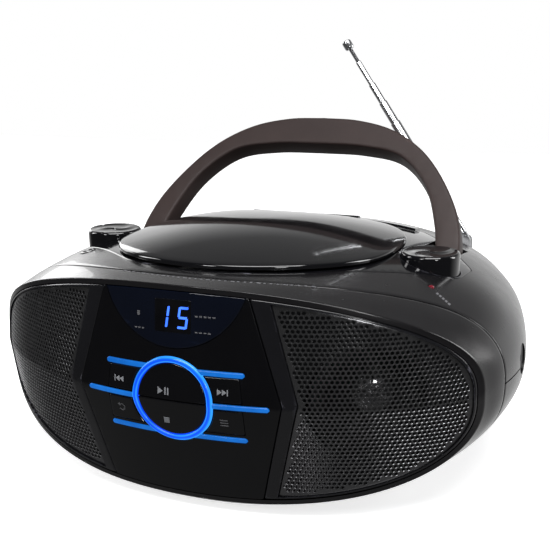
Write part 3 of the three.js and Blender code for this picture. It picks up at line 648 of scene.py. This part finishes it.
FRAME_STEEL = surface("speaker_steel", (0.06, 0.06, 0.065), 0.4, metallic=0.7)
BOARD = surface("board_green", (0.02, 0.09, 0.035), 0.45, grain=500, bump=0.3)
IRON = surface("transformer_iron", (0.16, 0.14, 0.12), 0.5, grain=400, bump=0.3, stretch=(1, 12, 1))
RUBBER = surface("rubber", (0.012, 0.012, 0.012), 0.8, grain=1200, bump=0.3)
MARK = surface("white_mark", (0.30, 0.31, 0.33), 0.5, **PRINT)
FAINT = surface("grey_mark", (0.14, 0.14, 0.15), 0.5, **PRINT)
LAMP = surface("lamp_red", (0.16, 0.008, 0.018), 0.15, vary=0.05, grain=900, coat=0.5)
RING_LIGHT = ring_material()
BAR_LIGHT = lit("bar_light", (0.005, 0.12, 0.50), (0.009, 0.17, 0.64), 0.95)
DIGITS = lit("digits", (0.015, 0.09, 1.0), (0.06, 0.2, 1.0), 1.9)


# ---------- front ----------
def build_bezel():
    seam = SEAM_AT - SEAM_HALF
    verts, faces = case_wall(0, 360, 0, seam, 288, 26, ring=True)
    finish(raw(verts, faces), "bezel", "case", SATIN, ["front_bezel"], 40)


def panel_outline(grow):
    right = [(x + grow, z) for x, z in PANEL_EDGE]
    low, high = (right[0][0], 2), (right[2][0], 120)
    half = [low, *right, high]
    return half + mirrored(half)


def window_outline(grow):
    reach = degrees(acos((WINDOW_Z - WINDOW_TOP) / WINDOW_RADIUS))
    return arc(0, WINDOW_Z, WINDOW_RADIUS + grow, 270 - reach, 270 + reach, 72)


def side_key_outline(upper, grow):
    low, high = (62, 73.9) if upper else (45.4, 57.8)
    slant = 34.5 if upper else 36
    outline = [
        (20, low - grow), (36 + grow, low - grow), (slant + grow, high + grow), (20, high + grow)
    ]
    ring = RING_OUTER + 0.8 - grow
    inner = [
        (sqrt(max(ring**2 - (z - MID_Z) ** 2, 0)), z) for z in np.linspace(high + grow, low - grow,
            13)
    ]
    return outline[1:3] + inner


def bar_outline(row, grow):
    rise, reach = BAR_ROWS[row]
    half = BAR_HALF + grow
    right = arc(reach - BAR_HALF, MID_Z + rise, half, -90, 90, 10)
    left = arc(-reach + BAR_HALF, MID_Z + rise, half, 90, 270, 10)
    return right + left


def build_panel():
    outline = rounded(clipped(panel_outline(-0.15), rim_oval(WALL + GAP)), 1.2, least=25)
    plate = front_plate([outline], 0, 3, 0.35, 2.5)
    cut(plate, prism(circle(0, MID_Z, RING_OUTER + GAP, 128), "y", *FRONT_CUT))
    for row in range(len(BAR_ROWS)):
        cut(plate, prism(bar_outline(row, GAP), "y", *FRONT_CUT))
    for upper in (True, False):
        outline = side_key_outline(upper, GAP)
        cut(plate, prism(outline, "y", *FRONT_CUT), prism(mirrored(outline), "y", *FRONT_CUT))
    window = clipped(window_outline(GAP), rim_oval(WALL + GAP))
    pocket = front_plate([window], -4, 1.6, 0.1, 3)
    cut(plate, pocket)
    finish(plate, "panel", "case", PANEL, ["center_panel"])
    glass = front_plate(
        [rounded(clipped(window_outline(0), rim_oval(WALL + GAP + 0.2)), 1)], 0, 1.3, 0.35, 2.5
    )
    finish(glass, "window", "case", WINDOW, ["display_window"])


def build_keys():
    for name, upper, left, body in (
        ("skip_back", True, True, "back_key"), ("skip_forward", True, False, "forward_key"),
        ("repeat", False, True, "repeat_key"), ("program", False, False, "program_key"),
    ):
        outline = side_key_outline(upper, 0)
        outline = mirrored(outline) if left else outline
        key = front_plate([rounded(outline, 1.2)], -0.4, 3.6, 0.5, 3)
        finish(key, f"{name}_key", body, KEY, [f"{name}_button"])
    radius = RING_INNER - GAP
    half_gap = 0.25
    lean = degrees(asin(half_gap / radius))
    for name, start, body in (("play_pause", lean, "play_key"), ("stop", 180 + lean, "stop_key")):
        outline = arc(0, MID_Z, radius, start, start + 180 - 2 * lean, 60)
        key = front_plate([rounded(outline, 0.6)], -0.2, 3.8, 0.5, 3)
        finish(key, f"{name}_key", body, KEY, [f"{name}_button"])


def build_light_guide():
    ring = front_plate(
        [circle(0, MID_Z, RING_OUTER, 144), circle(0, MID_Z, RING_INNER, 144)], -0.9, 2.6, 1.0, 4, 4
    )
    finish(ring, "ring_light", "case", RING_LIGHT, ["light_guide"], 50)
    parts = []
    for row in range(len(BAR_ROWS)):
        bar = front_plate([bar_outline(row, 0)], -0.4, 2.6, 0.5, 3, 3)
        parts.append(cut(bar, prism(circle(0, MID_Z, RING_OUTER + 0.05, 128), "y", *FRONT_CUT)))
    bars = joined(parts)
    finish(bars, "bar_lights", "case", BAR_LIGHT)


def joined(parts):
    """Several objects as one, each still its own closed body."""
    bm = bmesh.new()
    for part in parts:
        bm.from_mesh(part.data)
        bpy.data.objects.remove(part)
    mesh = bpy.data.meshes.new("joined")
    bm.to_mesh(mesh)
    bm.free()
    return link("joined", mesh)


def front_marks(outlines, proud, edge=0.04):
    """Thin printed shapes that stand a little proud of the front."""
    return joined([front_plate([o], -proud, -proud + 0.16, edge, 6, 0) for o in outlines])


def box_outline(x0, x1, z0, z1):
    return [(x0, z0), (x1, z0), (x1, z1), (x0, z1)]


def triangle(x, z, width, half):
    return [(x, z - half), (x + width, z), (x, z + half)]


def symbol(outlines, name, key, proud, material=MARK):
    marks = front_marks(outlines, proud)
    finish(marks, f"{name}_symbol", f"{key}_key", material)


def build_symbols():
    play = [
        triangle(-7, 64.4, 2.8, 1.8), box_outline(-3.4, -2.6, 62.6, 66.2),
        box_outline(-1.9, -1.1, 62.6, 66.2)
    ]
    symbol(play, "play_pause", "play", ROUND_KEY_PROUD)
    stop = [box_outline(-5.2, -2.2, 47.4, 50.4)]
    symbol(stop, "stop", "stop", ROUND_KEY_PROUD)
    forward = [
        triangle(24, 67, 2.3, 1.5), triangle(26.4, 67, 2.3, 1.5),
        box_outline(28.8, 29.4, 65.5, 68.5)
    ]
    symbol(forward, "skip_forward", "forward", SIDE_KEY_PROUD)
    back = [mirrored([(x + 2.6, z) for x, z in o]) for o in forward]
    symbol(back, "skip_back", "back", SIDE_KEY_PROUD)
    loop = arc(29, 51.8, 1.9, 40, 330, 18) + arc(29, 51.8, 1.4, 330, 40, 18)
    head = triangle(30, 53.2, 1.5, 1)
    repeat = [mirrored(loop), mirrored(head)]
    symbol(repeat, "repeat", "repeat", SIDE_KEY_PROUD, FAINT)
    bars = [box_outline(24.6, 28.6, z, z + 0.55) for z in (49.6, 51, 52.4)]
    symbol(bars, "program", "program", SIDE_KEY_PROUD, FAINT)


SEGMENTS = {"1": "bc", "5": "afgcd"}
DIGIT_WIDTH, DIGIT_HEIGHT, STROKE, SLANT = 5.5, 10.6, 1.15, 0.14


def digit_outlines(x, z, digit):
    """The lit strokes of a seven-segment digit whose lower left corner is x, z."""
    w, h, s = DIGIT_WIDTH, DIGIT_HEIGHT, STROKE
    gap = 0.28
    strokes = {
        "a": (s * 0.5, w - s * 0.5, h - s, h),
        "g": (s * 0.5, w - s * 0.5, h / 2 - s / 2, h / 2 + s / 2),
        "d": (s * 0.5, w - s * 0.5, 0, s), "b": (w - s, w, h / 2 + gap, h - gap),
        "c": (w - s, w, gap, h / 2 - gap), "f": (0, s, h / 2 + gap, h - gap),
        "e": (0, s, gap, h / 2 - gap),
    }
    made = []
    for key in SEGMENTS[digit]:
        x0, x1, z0, z1 = strokes[key]
        outline = rounded(box_outline(x0, x1, z0, z1), 0.35, 2)
        made.append([(x + a + b * SLANT, z + b) for a, b in outline])
    return made


def build_display():
    face = rounded(box_outline(-8.8, 10.4, 93.2, 109), 0.8, 3)
    finish(front_marks([face], 0.05), "display_face", "case", DISPLAY)
    digits = digit_outlines(-7.6, 95.3, "1") + digit_outlines(2.7, 95.3, "5")
    finish(front_marks(digits, 0.12), "display_digits", "case", DIGITS)
    ticks = [box_outline(12.4 + k * 2.2, 13.8 + k * 2.2, 101.6, 102.3) for k in range(5)]
    ticks += [box_outline(12.4 + k * 2.2, 13.8 + k * 2.2, 94, 94.6) for k in range(4)]
    ticks += [box_outline(-20 + k * 2, -18.8 + k * 2, 93.4, 94) for k in range(3)]
    ticks += [rounded(box_outline(-18.6, -17.2, 99.6, 102), 0.6, 3)]
    finish(front_marks(ticks, 0.08), "display_marks", "case", FAINT)


def grille_region(grow):
    region = side_region(GRILLE_INSET - grow, GRILLE_EDGE, -grow)
    return rounded(region, 3.2, 8, 25)


def arc_length(limit, z):
    """Distances along the front face from the middle outwards, for holes of equal pitch."""
    x = np.linspace(0, limit, 600)
    y = front_y(x, z)
    return x, np.concatenate([[0], np.cumsum(np.hypot(np.diff(x), np.diff(y)))])


HOLE_PITCH, HOLE_ROW, HOLE_RADIUS, HOLE_FLARE, HOLE_SIDES = 2.5, 2.15, 0.9, 0.22, 8
HOLE_MARGIN = 1.8


def inside(point, outline):
    x, y = point
    found = False
    for (x0, y0), (x1, y1) in zip(outline, outline[1:] + outline[:1]):
        if (y0 > y) != (y1 > y) and x < (x1 - x0) * (y - y0) / (y1 - y0) + x0:
            found = not found
    return found


def hole_cutters(side):
    """All the holes of one grille as small funnels square to the sheet."""
    field = grille_region(-HOLE_MARGIN)
    verts, faces = [], []
    angles = np.linspace(0, 2 * pi, HOLE_SIDES, False)
    depths = [(0.4, HOLE_RADIUS + 2 * HOLE_FLARE), (-HOLE_FLARE, HOLE_RADIUS), (-4, HOLE_RADIUS)]
    for j in range(int(120 / HOLE_ROW)):
        z = 4.5 + j * HOLE_ROW
        xs, lengths = arc_length(137, z)
        for i in range(int(lengths[-1] / HOLE_PITCH)):
            x = float(np.interp(HOLE_PITCH * (i + 0.5 * (j % 2)), lengths, xs))
            if not inside((x, z), field):
                continue
            dx = float(front_y(x + 0.1, z) - front_y(x - 0.1, z)) / 0.2
            dz = float(front_y(x, z + 0.1) - front_y(x, z - 0.1)) / 0.2
            out = Vector((dx, -1, dz)).normalized()
            across = Vector((1, dx, 0)).normalized()
            up = out.cross(across)
            centre = Vector((x, float(front_y(x, z)) + 1.1, z))
            base = len(verts)
            for depth, radius in depths:
                for a in angles:
                    p = centre + out * depth + (across * cos(a) + up * sin(a)) * radius
                    verts.append((p.x * side, p.y, p.z))
            n = HOLE_SIDES
            faces += [
                tuple(range(base, base + n)), tuple(range(base + 3 * n - 1, base + 2 * n - 1, -1))
            ]
            for ring in (0, n):
                faces += [
                    (base + ring + k, base + ring + (k + 1) % n, base + ring + n + (k + 1) % n,
                        base + ring + n + k)
                    for k in range(n)
                ]
    return raw(verts, faces)


def build_speakers():
    for side, name in ((-1, "left"), (1, "right")):
        place_outline = mirrored if side < 0 else list
        border = rounded(side_region(WALL + GAP, PANEL_EDGE, 0.15), 0.8, 3, 25)
        trim = front_plate([place_outline(border)], 0, 4.6, 0.9, 3, 3)
        cut(trim, front_plate([place_outline(grille_region(GAP))], -8, 2.6, 0.2, 3, 1))
        sound = prism(circle(side * SPEAKER_X, SPEAKER_Z, 29, 64), "y", -130, -40)
        cut(trim, sound)
        finish(trim, f"trim_{name}", "case", TRIM, [f"baffle_{name}"])
        grille = front_plate([place_outline(grille_region(0))], 1.1, 2.3, 0.3, 3, 1)
        cut(grille, hole_cutters(side))
        finish(
            grille, f"grille_sheet_{name}", "case", GRILLE, [f"grille_{name}"], 25
        )
        build_cone(side, name)


def build_cone(side, name):
    tilt = radians(SPEAKER_TILT) * side
    out = Vector((sin(tilt), -cos(tilt), 0))
    turn = out.to_track_quat("Z", "Y").to_matrix().to_4x4()
    matrix = Matrix.Translation((SPEAKER_X * side, SPEAKER_Y, SPEAKER_Z)) @ turn
    profile = [
        (0, -5.6), (12.9, -10.4), (27.5, -0.9), (27.9, 0.1), (27, 0.55), (26, 0.6), (25, 0.2),
        (24.4, -0.6)
    ]
    profile += [(13.4, -9.3), (12.6, -9.0), (0, -4.9)]
    cone = turned(profile, matrix, 96)
    finish(cone, f"cone_{name}", "case", CONE, [f"speaker_cone_{name}"])
    dome = [(0, -9.6)] + [(12.4 * sin(a), -9.6 + 5.4 * cos(a)) for a in np.linspace(pi / 2, 0, 12)]
    finish(turned(dome, matrix), f"dust_cap_{name}", "case", CAP)


# ---------- case ----------
def top_surface():
    """A tree of the fine upper surface, to find its height from above."""
    angles = np.radians(np.linspace(2, 178, 221))
    stations = np.linspace(0.02, 0.99, 180)
    grid = wall_face(angles, stations, [0] * len(stations))
    rows, cols = grid.shape[:2]
    faces = [(i * cols + j, i * cols + j + 1, (i + 1) * cols + j + 1, (i + 1) * cols + j)
             for i in range(rows - 1) for j in range(cols - 1)]
    return BVHTree.FromPolygons([tuple(p) for p in grid.reshape(-1, 3)], faces)


TOP_TREE = top_surface()


def top_z(x, y):
    hit = TOP_TREE.ray_cast(Vector((x, y, 300)), Vector((0, 0, -1)))[0]
    return hit.z if hit else MID_Z


def on_top(proud, thick):
    """Lays a plate on the upper surface, its top this far above it."""
    return lambda u, v, w: (u, v, top_z(u, v) + proud - thick / 2 + w)


def top_plate(outlines, proud, thick, edge, spacing=3.0, steps=2):
    return bent_plate(outlines, thick, edge, spacing, on_top(proud, thick), steps)


def half_shell(start, end, rear_low, rear_high):
    seam = SEAM_AT + SEAM_HALF
    verts, faces = case_wall(start, end, seam, 1, 200, 90)
    shell = raw(verts, faces)
    width, rise, drop = SECTIONS[-1][:3]
    rear = prism(
        oval(width - 0.8, rise - 0.8, drop - 0.8, TOP_POWER, BOTTOM_POWER), "y", HALF_DEPTH - WALL,
        HALF_DEPTH
    )
    combine(rear, block(-200, 200, 100, 130, rear_low, rear_high), "INTERSECT")
    return combine(shell, rear, "UNION")


def slot_block(side):
    x0, x1, y0, y1, floor = SLOT
    low, high = sorted((side * x0, side * x1))
    return block(low, high, y0, y1, floor, 160)


def mode_axis():
    roll, pitch = radians(MODE_ROLL), radians(MODE_PITCH)
    return Vector((-sin(roll), -sin(pitch), 1)).normalized()


def build_shells():
    upper = half_shell(0.12, 179.88, MID_Z + 0.2, 200)
    cut(upper, prism(deck_outline(0), "z", *DECK_CUT), slot_block(-1), slot_block(1))
    axis = mode_axis()
    cut(upper, rod(MODE_RADIUS + GAP, 20, Vector(MODE_AT) - axis * 10, axis))
    cut(upper, rod(LAMP_RADIUS + GAP, 40, (LAMP_X, LAMP_Y, 90), (0, 0, 1)))
    cut(upper, rod(JACK_HOLE, 30, (130, JACK_Y, JACK_Z), (1, 0, 0), 64))
    x, y, z = ANTENNA
    cut(upper, rod(4.6, 30, (x, y, z - 6.7), (0, 0, 1)), rod(3.6, 20, (x, y, z - 16), (0, 0, 1)))
    finish(upper, "upper_shell", "case", SATIN, ["top_shell"])

    lower = half_shell(180.12, 359.88, -50, MID_Z - 0.2)
    cut(
        lower, block(-BAY_X, BAY_X, 100, 130, BAY_Z0, BAY_Z1),
        rod(JACK_HOLE, 30, (130, JACK_Y, JACK_Z), (1, 0, 0), 64)
    )
    cut(lower, block(*INLET_HOLE))
    finish(lower, "lower_shell", "case", SATIN, ["bottom_shell"])


def build_deck():
    deck = top_plate([deck_outline(-GAP)], 0, WALL, 0.55, 3.5, 3)
    cut(deck, prism(circle(0, LID_Y, WELL_RADIUS - 3, 128), "z", *DECK_CUT))
    for side in (-1, 1):
        cut(
            deck, prism(circle(KNOB_X * side, KNOB_Y, KNOB_RADIUS + 0.5, 96), "z", *DECK_CUT),
            slot_block(side)
        )
    cut(deck, rod(BARREL + GAP, 72, (-36, PIVOT_Y, PIVOT_Z), (1, 0, 0)))
    for x in EARS:
        cut(deck, block(x - 6, x + 6, 60.5, 71, 90, 160))
    finish(deck, "deck", "case", DECK, ["deck_plate"])


# ---------- disc lid ----------
def lid_point(u, angle, drop):
    cosine, sine = cos(angle), sin(angle)
    rear = sine > 0
    power = 3.2 if rear else 2
    reach = (
        abs(cosine / LID_RADIUS) ** power + abs(sine / (LID_REAR if rear else LID_RADIUS)) ** power
    ) ** (-1 / power)
    edge_x_share = abs(reach * cosine / HALF_WIDTH)
    fall = (LID_REAR_FALL if rear else LID_FRONT_FALL) * (reach * sine / LID_RADIUS) ** 2
    edge = MID_Z + (CROWN - fall) * (1 - edge_x_share**TOP_POWER) ** (
        1 / TOP_POWER
    ) + LID_WALL + 0.7
    height = edge + (LID_TOP - edge) * (1 - u * u) - drop
    return reach * u * cosine, LID_Y + reach * u * sine, height


def build_lid():
    sides = 180
    angles = [2 * pi * k / sides for k in range(sides)]
    # the top, a rounded lip, and the underside
    rings = [(u, 0) for u in np.linspace(0.04, 0.985, 22)] + [
        (0.993, 0.12), (0.998, 0.45), (1, 0.9), (1, LID_WALL)
    ]
    rings += [(u, LID_WALL) for u in (0.9, 0.6, 0.3, 0.04)]
    verts, faces = [lid_point(0, 0, 0)], []
    for u, drop in rings:
        verts += [lid_point(u, a, drop) for a in angles]
    verts.append(lid_point(0, 0, LID_WALL))
    for j in range(sides):
        k = (j + 1) % sides
        faces.append((0, 1 + j, 1 + k))
        for i in range(len(rings) - 1):
            a = 1 + i * sides
            faces.append((a + j, a + sides + j, a + sides + k, a + k))
        a = 1 + (len(rings) - 1) * sides
        faces.append((a + j, len(verts) - 1, a + k))
    lid = raw(verts, faces)
    for x in EARS:
        arm = [(52, 118.4), (52, 120.4), (61.8, 118.6), (PIVOT_Y, PIVOT_Z + BARREL),
            (PIVOT_Y, PIVOT_Z - BARREL),
               (63.5, 114), (61.8, 117)]
        combine(lid, prism(arm, "x", x - 5, x + 5), "UNION")
        combine(lid, rod(BARREL, 10, (x - 5, PIVOT_Y, PIVOT_Z), (1, 0, 0)), "UNION")
    cut(lid, rod(PIN + 0.2, 70, (-35, PIVOT_Y, PIVOT_Z), (1, 0, 0), 24))
    finish(lid, "lid_dome", "lid", GLOSS, ["cd_lid"])


# ---------- knobs ----------
def knob_mesh():
    """A knob with three notches in its rim and a curved ridge across its top, about its own axis."""
    r, top = KNOB_RADIUS, KNOB_TOP
    profile = [
        (0, 110), (3.3, 110), (3.3, KNOB_BOTTOM), (r - 0.5, KNOB_BOTTOM),
        (r - 0.2, KNOB_BOTTOM + 0.3)
    ]
    profile += [(r, top - 1.6), (r - 0.15, top - 0.9), (r - 0.6, top - 0.3), (r - 1.3, top)]
    profile += [(rr, top) for rr in np.linspace(r - 1.6, 0.6, 26)] + [(0, top)]
    verts, faces = lathe(profile, 144)
    made = []
    for x, y, z in verts:
        radius, angle = hypot(x, y), atan2(y, x)
        if z > top - 0.01 and radius < r - 1.4:
            share = radius / (r - 1.6)
            swirl = sin(angle - 1.9 * share + 0.5)
            dish = 0.7 * (1 - share**6)
            z -= dish * (0.5 + 0.5 * tanh(2.4 * (abs(swirl) - 0.45)))
        made.append((x, y, z))
    knob = raw(made, faces)
    for k in range(3):
        angle = radians(30 + 120 * k)
        spot = Vector((cos(angle), sin(angle), 0)) * (r - 1.4)
        cut(knob, rod(1.3, 6, (spot.x, spot.y, top - 0.7), (0, 0, 1), 24))
    return knob


def build_knobs():
    for side, name, body in ((-1, "volume", "volume"), (1, "tuning", "tuning")):
        knob = knob_mesh()
        knob.data.transform(Matrix.Translation((KNOB_X * side, KNOB_Y, 0)))
        finish(knob, f"{name}_dial", body, GLOSS, [f"{name}_knob"])


def build_small_controls():
    r = MODE_RADIUS
    profile = [
        (0, -4), (r, -4), (r, 0), (r - 0.25, 0.35), (r - 0.9, 0.4), (r - 1.5, -0.4), (0, -0.9)
    ]
    turn = mode_axis().to_track_quat("Z", "Y").to_matrix().to_4x4()
    button = turned(profile, Matrix.Translation(MODE_AT) @ turn)
    finish(button, "mode_cap", "mode", GLOSS, ["mode_button"])
    r = LAMP_RADIUS
    dome = [(0, -6)] + [(r, -6), (r, -0.8)] + [
        (r * cos(a), -0.8 + 0.8 * sin(a)) for a in (0.4, 0.8, 1.2)
    ] + [(0, 0)]
    lamp = turned(dome, Matrix.Translation((LAMP_X, LAMP_Y, LAMP_TOP)), 32)
    finish(lamp, "lamp_lens", "case", LAMP, ["stereo_lamp"])


# ---------- handle ----------
def smooth_line(points, count):
    """A centripetal Catmull-Rom line through 2D points."""
    control = np.array([(a, b, 0.0) for a, b in points])[:, None, :]
    return [tuple(along_rib(control, t)[0][:2]) for t in np.linspace(0, 1, count)]


def handle_outline():
    outer = [
        (LEG_OUTER, 0), (101.6, 21), (94.4, 43.4), (72, 76.9), (48, 94.2), (23, 101.2), (0, 102.4)
    ]
    inner = [
        (0, 82.4), (30, 81.5), (55, 75.7), (74.3, 55.9), (85.2, 28.4), (88, 15), (LEG_INNER, 0)
    ]
    right_out, right_in = smooth_line(outer, 48), smooth_line(inner, 48)
    left_out, left_in = mirrored(right_out), mirrored(right_in)
    return right_out + left_out[1:] + left_in + right_in[1:]


def build_handle():
    handle = bent_plate([handle_outline()], HANDLE_THICK, 1.6, 6, lambda u, v, w: (u, -w, v), 3)
    for x in (-LEG_OUTER, LEG_INNER):
        combine(handle, rod(HANDLE_END, LEG_OUTER - LEG_INNER, (x, 0, 0), (1, 0, 0), 64), "UNION")
    lean = Matrix.Rotation(-radians(HANDLE_LEAN), 4, "X")
    handle.data.transform(Matrix.Translation((0, HANDLE_Y, HANDLE_Z)) @ lean)
    for side in (-1, 1):
        start = side * (LEG_OUTER + LEG_INNER) / 2 - 12
        cut(handle, rod(2.2, 24, (start, HANDLE_Y, HANDLE_Z), (1, 0, 0), 32))
    cut(handle, block(-HALF_WIDTH, HALF_WIDTH, HANDLE_BACK, HANDLE_BACK + 10, HANDLE_Z, 300))
    finish(handle, "carry_handle", "handle_frame", BROWN, ["handle"], 40)


# ---------- antenna ----------
def build_antenna():
    lean = Matrix.Rotation(-radians(ANTENNA_LEAN), 4, "Y")
    matrix = Matrix.Translation(ANTENNA) @ lean
    radii, exposed, hidden = (3.2, 2.7, 2.2, 1.7), (MAIN_TUBE, 15, 13.5, 16.5), (0, 62, 58, 52)
    end = 5
    for k, radius in enumerate(radii):
        start = end - hidden[k]
        end += exposed[k]
        lip = 0.25
        profile = [(0, start), (radius - lip, start), (radius, start + lip), (radius, end - lip)]
        profile += [
            (radius - 0.12, end), (radius - 0.35, end), (radius - 0.35, start + 1.5),
            (0, start + 1.5)
        ]
        tube = turned(profile, matrix, 48)
        if k == 0:
            tongue = prism([(-1.4, 0), (1.4, 0), (1.4, 6), (-1.4, 6)], "x", -2.6, 2.6)
            combine(tongue, rod(2.6, 2.8, (0, -1.4, 0), (0, 1, 0), 32), "UNION")
            cut(tongue, rod(1.2, 8, (0, -4, 0), (0, 1, 0), 24))
            tongue.data.transform(matrix)
            combine(tube, tongue, "UNION")
        finish(
            tube, f"antenna_stage_{k + 1}", f"tube_{k + 1}", CHROME,
            [f"antenna_tube_{k + 1}"]
        )
    profile = [
        (0, end - 48), (1.2, end - 48), (1.2, end + 9.3), (2.4, end + 9.5), (2.9, end + 10.2),
        (3, end + 10.8)
    ]
    profile += [(3, end + 14.2), (2.8, end + 14.9), (2.2, end + 15.4), (0, end + 15.5)]
    finish(turned(profile, matrix, 48), "antenna_tip", "tip", CHROME, ["antenna_rod"])


# ---------- printed scale ----------
def build_scale():
    """Plain dial divisions along the front edge of the deck, and short marks near the lamp."""
    marks = []
    for k in range(33):
        x = -36 + k * 3
        y = -98.5 + 0.0042 * x * x
        long = k % 4 == 0
        marks.append(
            [(x, y), (x + (2 if long else 1.1), y), (x + (2 if long else 1.1), y + 1.1),
                (x, y + 1.1)]
        )
    for k in range(5):
        x, y = 109 + k * 1.7, -40 - k * 0.9
        marks.append([(x, y), (x + 1.1, y - 0.5), (x + 1.3, y + 1.6), (x + 0.2, y + 2.1)])
    parts = [top_plate([m], 0.1, 0.2, 0.02, 5, 0) for m in marks]
    finish(joined(parts), "scale_marks", "case", FAINT)


# ---------- carried-over nodes ----------
KEPT = [
    (STEEL, ["spindle_motor", "sled_rail", "lid_hinge_pin", "handle_pin_left", "handle_pin_right"]),
    (STEEL, ["volume_pot", "tuning_capacitor"]),
    (INNER, ["spindle_hub", "laser_sled", "cd_well", "handle_bracket_left",
        "handle_bracket_right"]),
    (INNER, ["aux_jack", "antenna_socket", "mains_inlet", "battery_tray"]),
    (FRAME_STEEL, ["speaker_basket_left", "speaker_basket_right"]),
    (BOARD, ["main_board", "front_board"]),
    (RUBBER, ["foot_front_left", "foot_front_right", "foot_rear_left", "foot_rear_right"]),
    (GLOSS, ["lid_hinge_strip"]),
    (CHROME, ["antenna_swivel"]),
    (IRON, ["transformer"]),
    (SATIN, ["battery_door"]),
    (DISPLAY, ["display_module"]),
]


def dress_kept():
    for material, names in KEPT:
        for name in names:
            mesh = NODES[name].data
            mesh.materials.clear()
            mesh.materials.append(material)


# ---------- studio ----------
FLOOR_GLOW = 0.8
ROOM_BEHIND = 0.85
ROOM_BELOW = 0.12
FLOOR_FRONT = -0.32


def build_backdrop():
    """A pale floor, hidden from reflections, that ends a little in front of the object."""
    verts = [(-1.3, FLOOR_FRONT, 0), (1.3, FLOOR_FRONT, 0), (1.3, 1.3, 0), (-1.3, 1.3, 0)]
    mesh = bpy.data.meshes.new("backdrop")
    mesh.from_pydata(verts, [], [(0, 1, 2, 3)])
    material, tree, shader, coords = new_material("backdrop_white")
    color = ramp(tree, noise(tree, coords, 3), [(0.3, (0.87, 0.87, 0.875)), (0.7, (0.9, 0.9, 0.9))])
    join(color, shader.inputs["Base Color"])
    join(color, shader.inputs["Emission Color"])
    put(shader, {"Emission Strength": FLOOR_GLOW, "Roughness": 0.9})
    mesh.materials.append(material)
    floor = link("backdrop", mesh)
    floor.visible_glossy = False
    floor.visible_diffuse = False


def area_light(name, location, target, size, energy, size_y=None):
    data = bpy.data.lights.new(name, "AREA")
    data.shape = "RECTANGLE"
    data.size = size
    data.size_y = size_y or size
    data.energy = energy
    light = bpy.data.objects.new(name, data)
    SCENE.collection.objects.link(light)
    light.location = location
    light.rotation_euler = (Vector(target) - Vector(location)).to_track_quat("-Z", "Y").to_euler()


def build_lights_and_world():
    area_light("top_light", (0.25, -0.42, 1.3), (0, 0, 0.1), 1.1, 20, 0.8)
    area_light("back_light", (-1.55, 1.0, 0.5), (0, 0, 0.1), 1.1, 7, 0.8)
    area_light("left_light", (-1.5, -0.25, 0.7), (0, 0, 0.08), 0.3, 7, 0.9)
    area_light("right_light", (1.4, 0.6, 0.6), (0, 0, 0.08), 0.4, 8, 0.9)
    area_light("front_light", (-0.5, -1.5, 1.0), (0, 0, 0.08), 0.3, 5)
    area_light("right_front_light", (1.05, -1.25, 0.5), (0.09, -0.09, 0.06), 0.25, 4)
    world = bpy.data.worlds.new("studio")
    SCENE.world = world
    world.use_nodes = True
    tree = world.node_tree
    background = tree.nodes["Background"]
    coords = add_node(tree, "TexCoord")
    split = add_node(tree, "SeparateXYZ")
    join(coords.outputs["Generated"], split.inputs["Vector"])
    # the room is dim in front of the object, so its front stays dark, and bright all round the rest
    behind = spread(tree, split.outputs["Y"], 0.035, ROOM_BEHIND, 0.1, 0.9)
    low_down = spread(tree, split.outputs["Z"], 1.0, 0.22, 0.14, 0.42)
    below = spread(tree, split.outputs["Z"], ROOM_BELOW, 0.0, -0.6, -0.25)
    dim = add_node(tree, "Math")
    dim.operation = "MULTIPLY_ADD"
    for socket, value in zip(dim.inputs, (behind, low_down, below)):
        join(value, socket)
    path = add_node(tree, "LightPath")
    pick = add_node(tree, "Mix")
    pick.inputs[3].default_value = 1.0
    join(path.outputs["Is Camera Ray"], pick.inputs[0])
    join(dim.outputs["Value"], pick.inputs[2])
    join(pick.outputs[0], background.inputs["Strength"])
    background.inputs["Color"].default_value = (1, 1, 1, 1)
    SCENE.view_settings.view_transform = "Standard"


CAMERA_AT = (0.2204, -0.5079, 0.2340)
CAMERA_AZIMUTH, CAMERA_ELEVATION, CAMERA_ROLL = 22.84, 14.16, -0.83
FOCAL_SHARE = 1.818182    # focal length as a share of the frame's width


def build_camera():
    a, e, r = (radians(v) for v in (CAMERA_AZIMUTH, CAMERA_ELEVATION, CAMERA_ROLL))
    back = Vector((sin(a) * cos(e), -cos(a) * cos(e), sin(e)))
    right = Vector((cos(a), sin(a), 0))
    up = back.cross(right)
    rolled_right = right * cos(r) + up * sin(r)
    rolled_up = up * cos(r) - right * sin(r)
    data = bpy.data.cameras.new("camera")
    data.sensor_width = 36
    data.lens = 36 * FOCAL_SHARE
    data.clip_start = 0.01
    camera = bpy.data.objects.new("camera", data)
    SCENE.collection.objects.link(camera)
    basis = Matrix((rolled_right, rolled_up, back)).transposed().to_4x4()
    camera.matrix_world = Matrix.Translation(CAMERA_AT) @ basis
    SCENE.camera = camera


build_bezel()
build_panel()
build_keys()
build_light_guide()
build_symbols()
build_display()
build_speakers()
build_shells()
build_deck()
build_lid()
build_knobs()
build_small_controls()
build_handle()
build_antenna()
build_scale()
dress_kept()
build_backdrop()
build_lights_and_world()
build_camera()
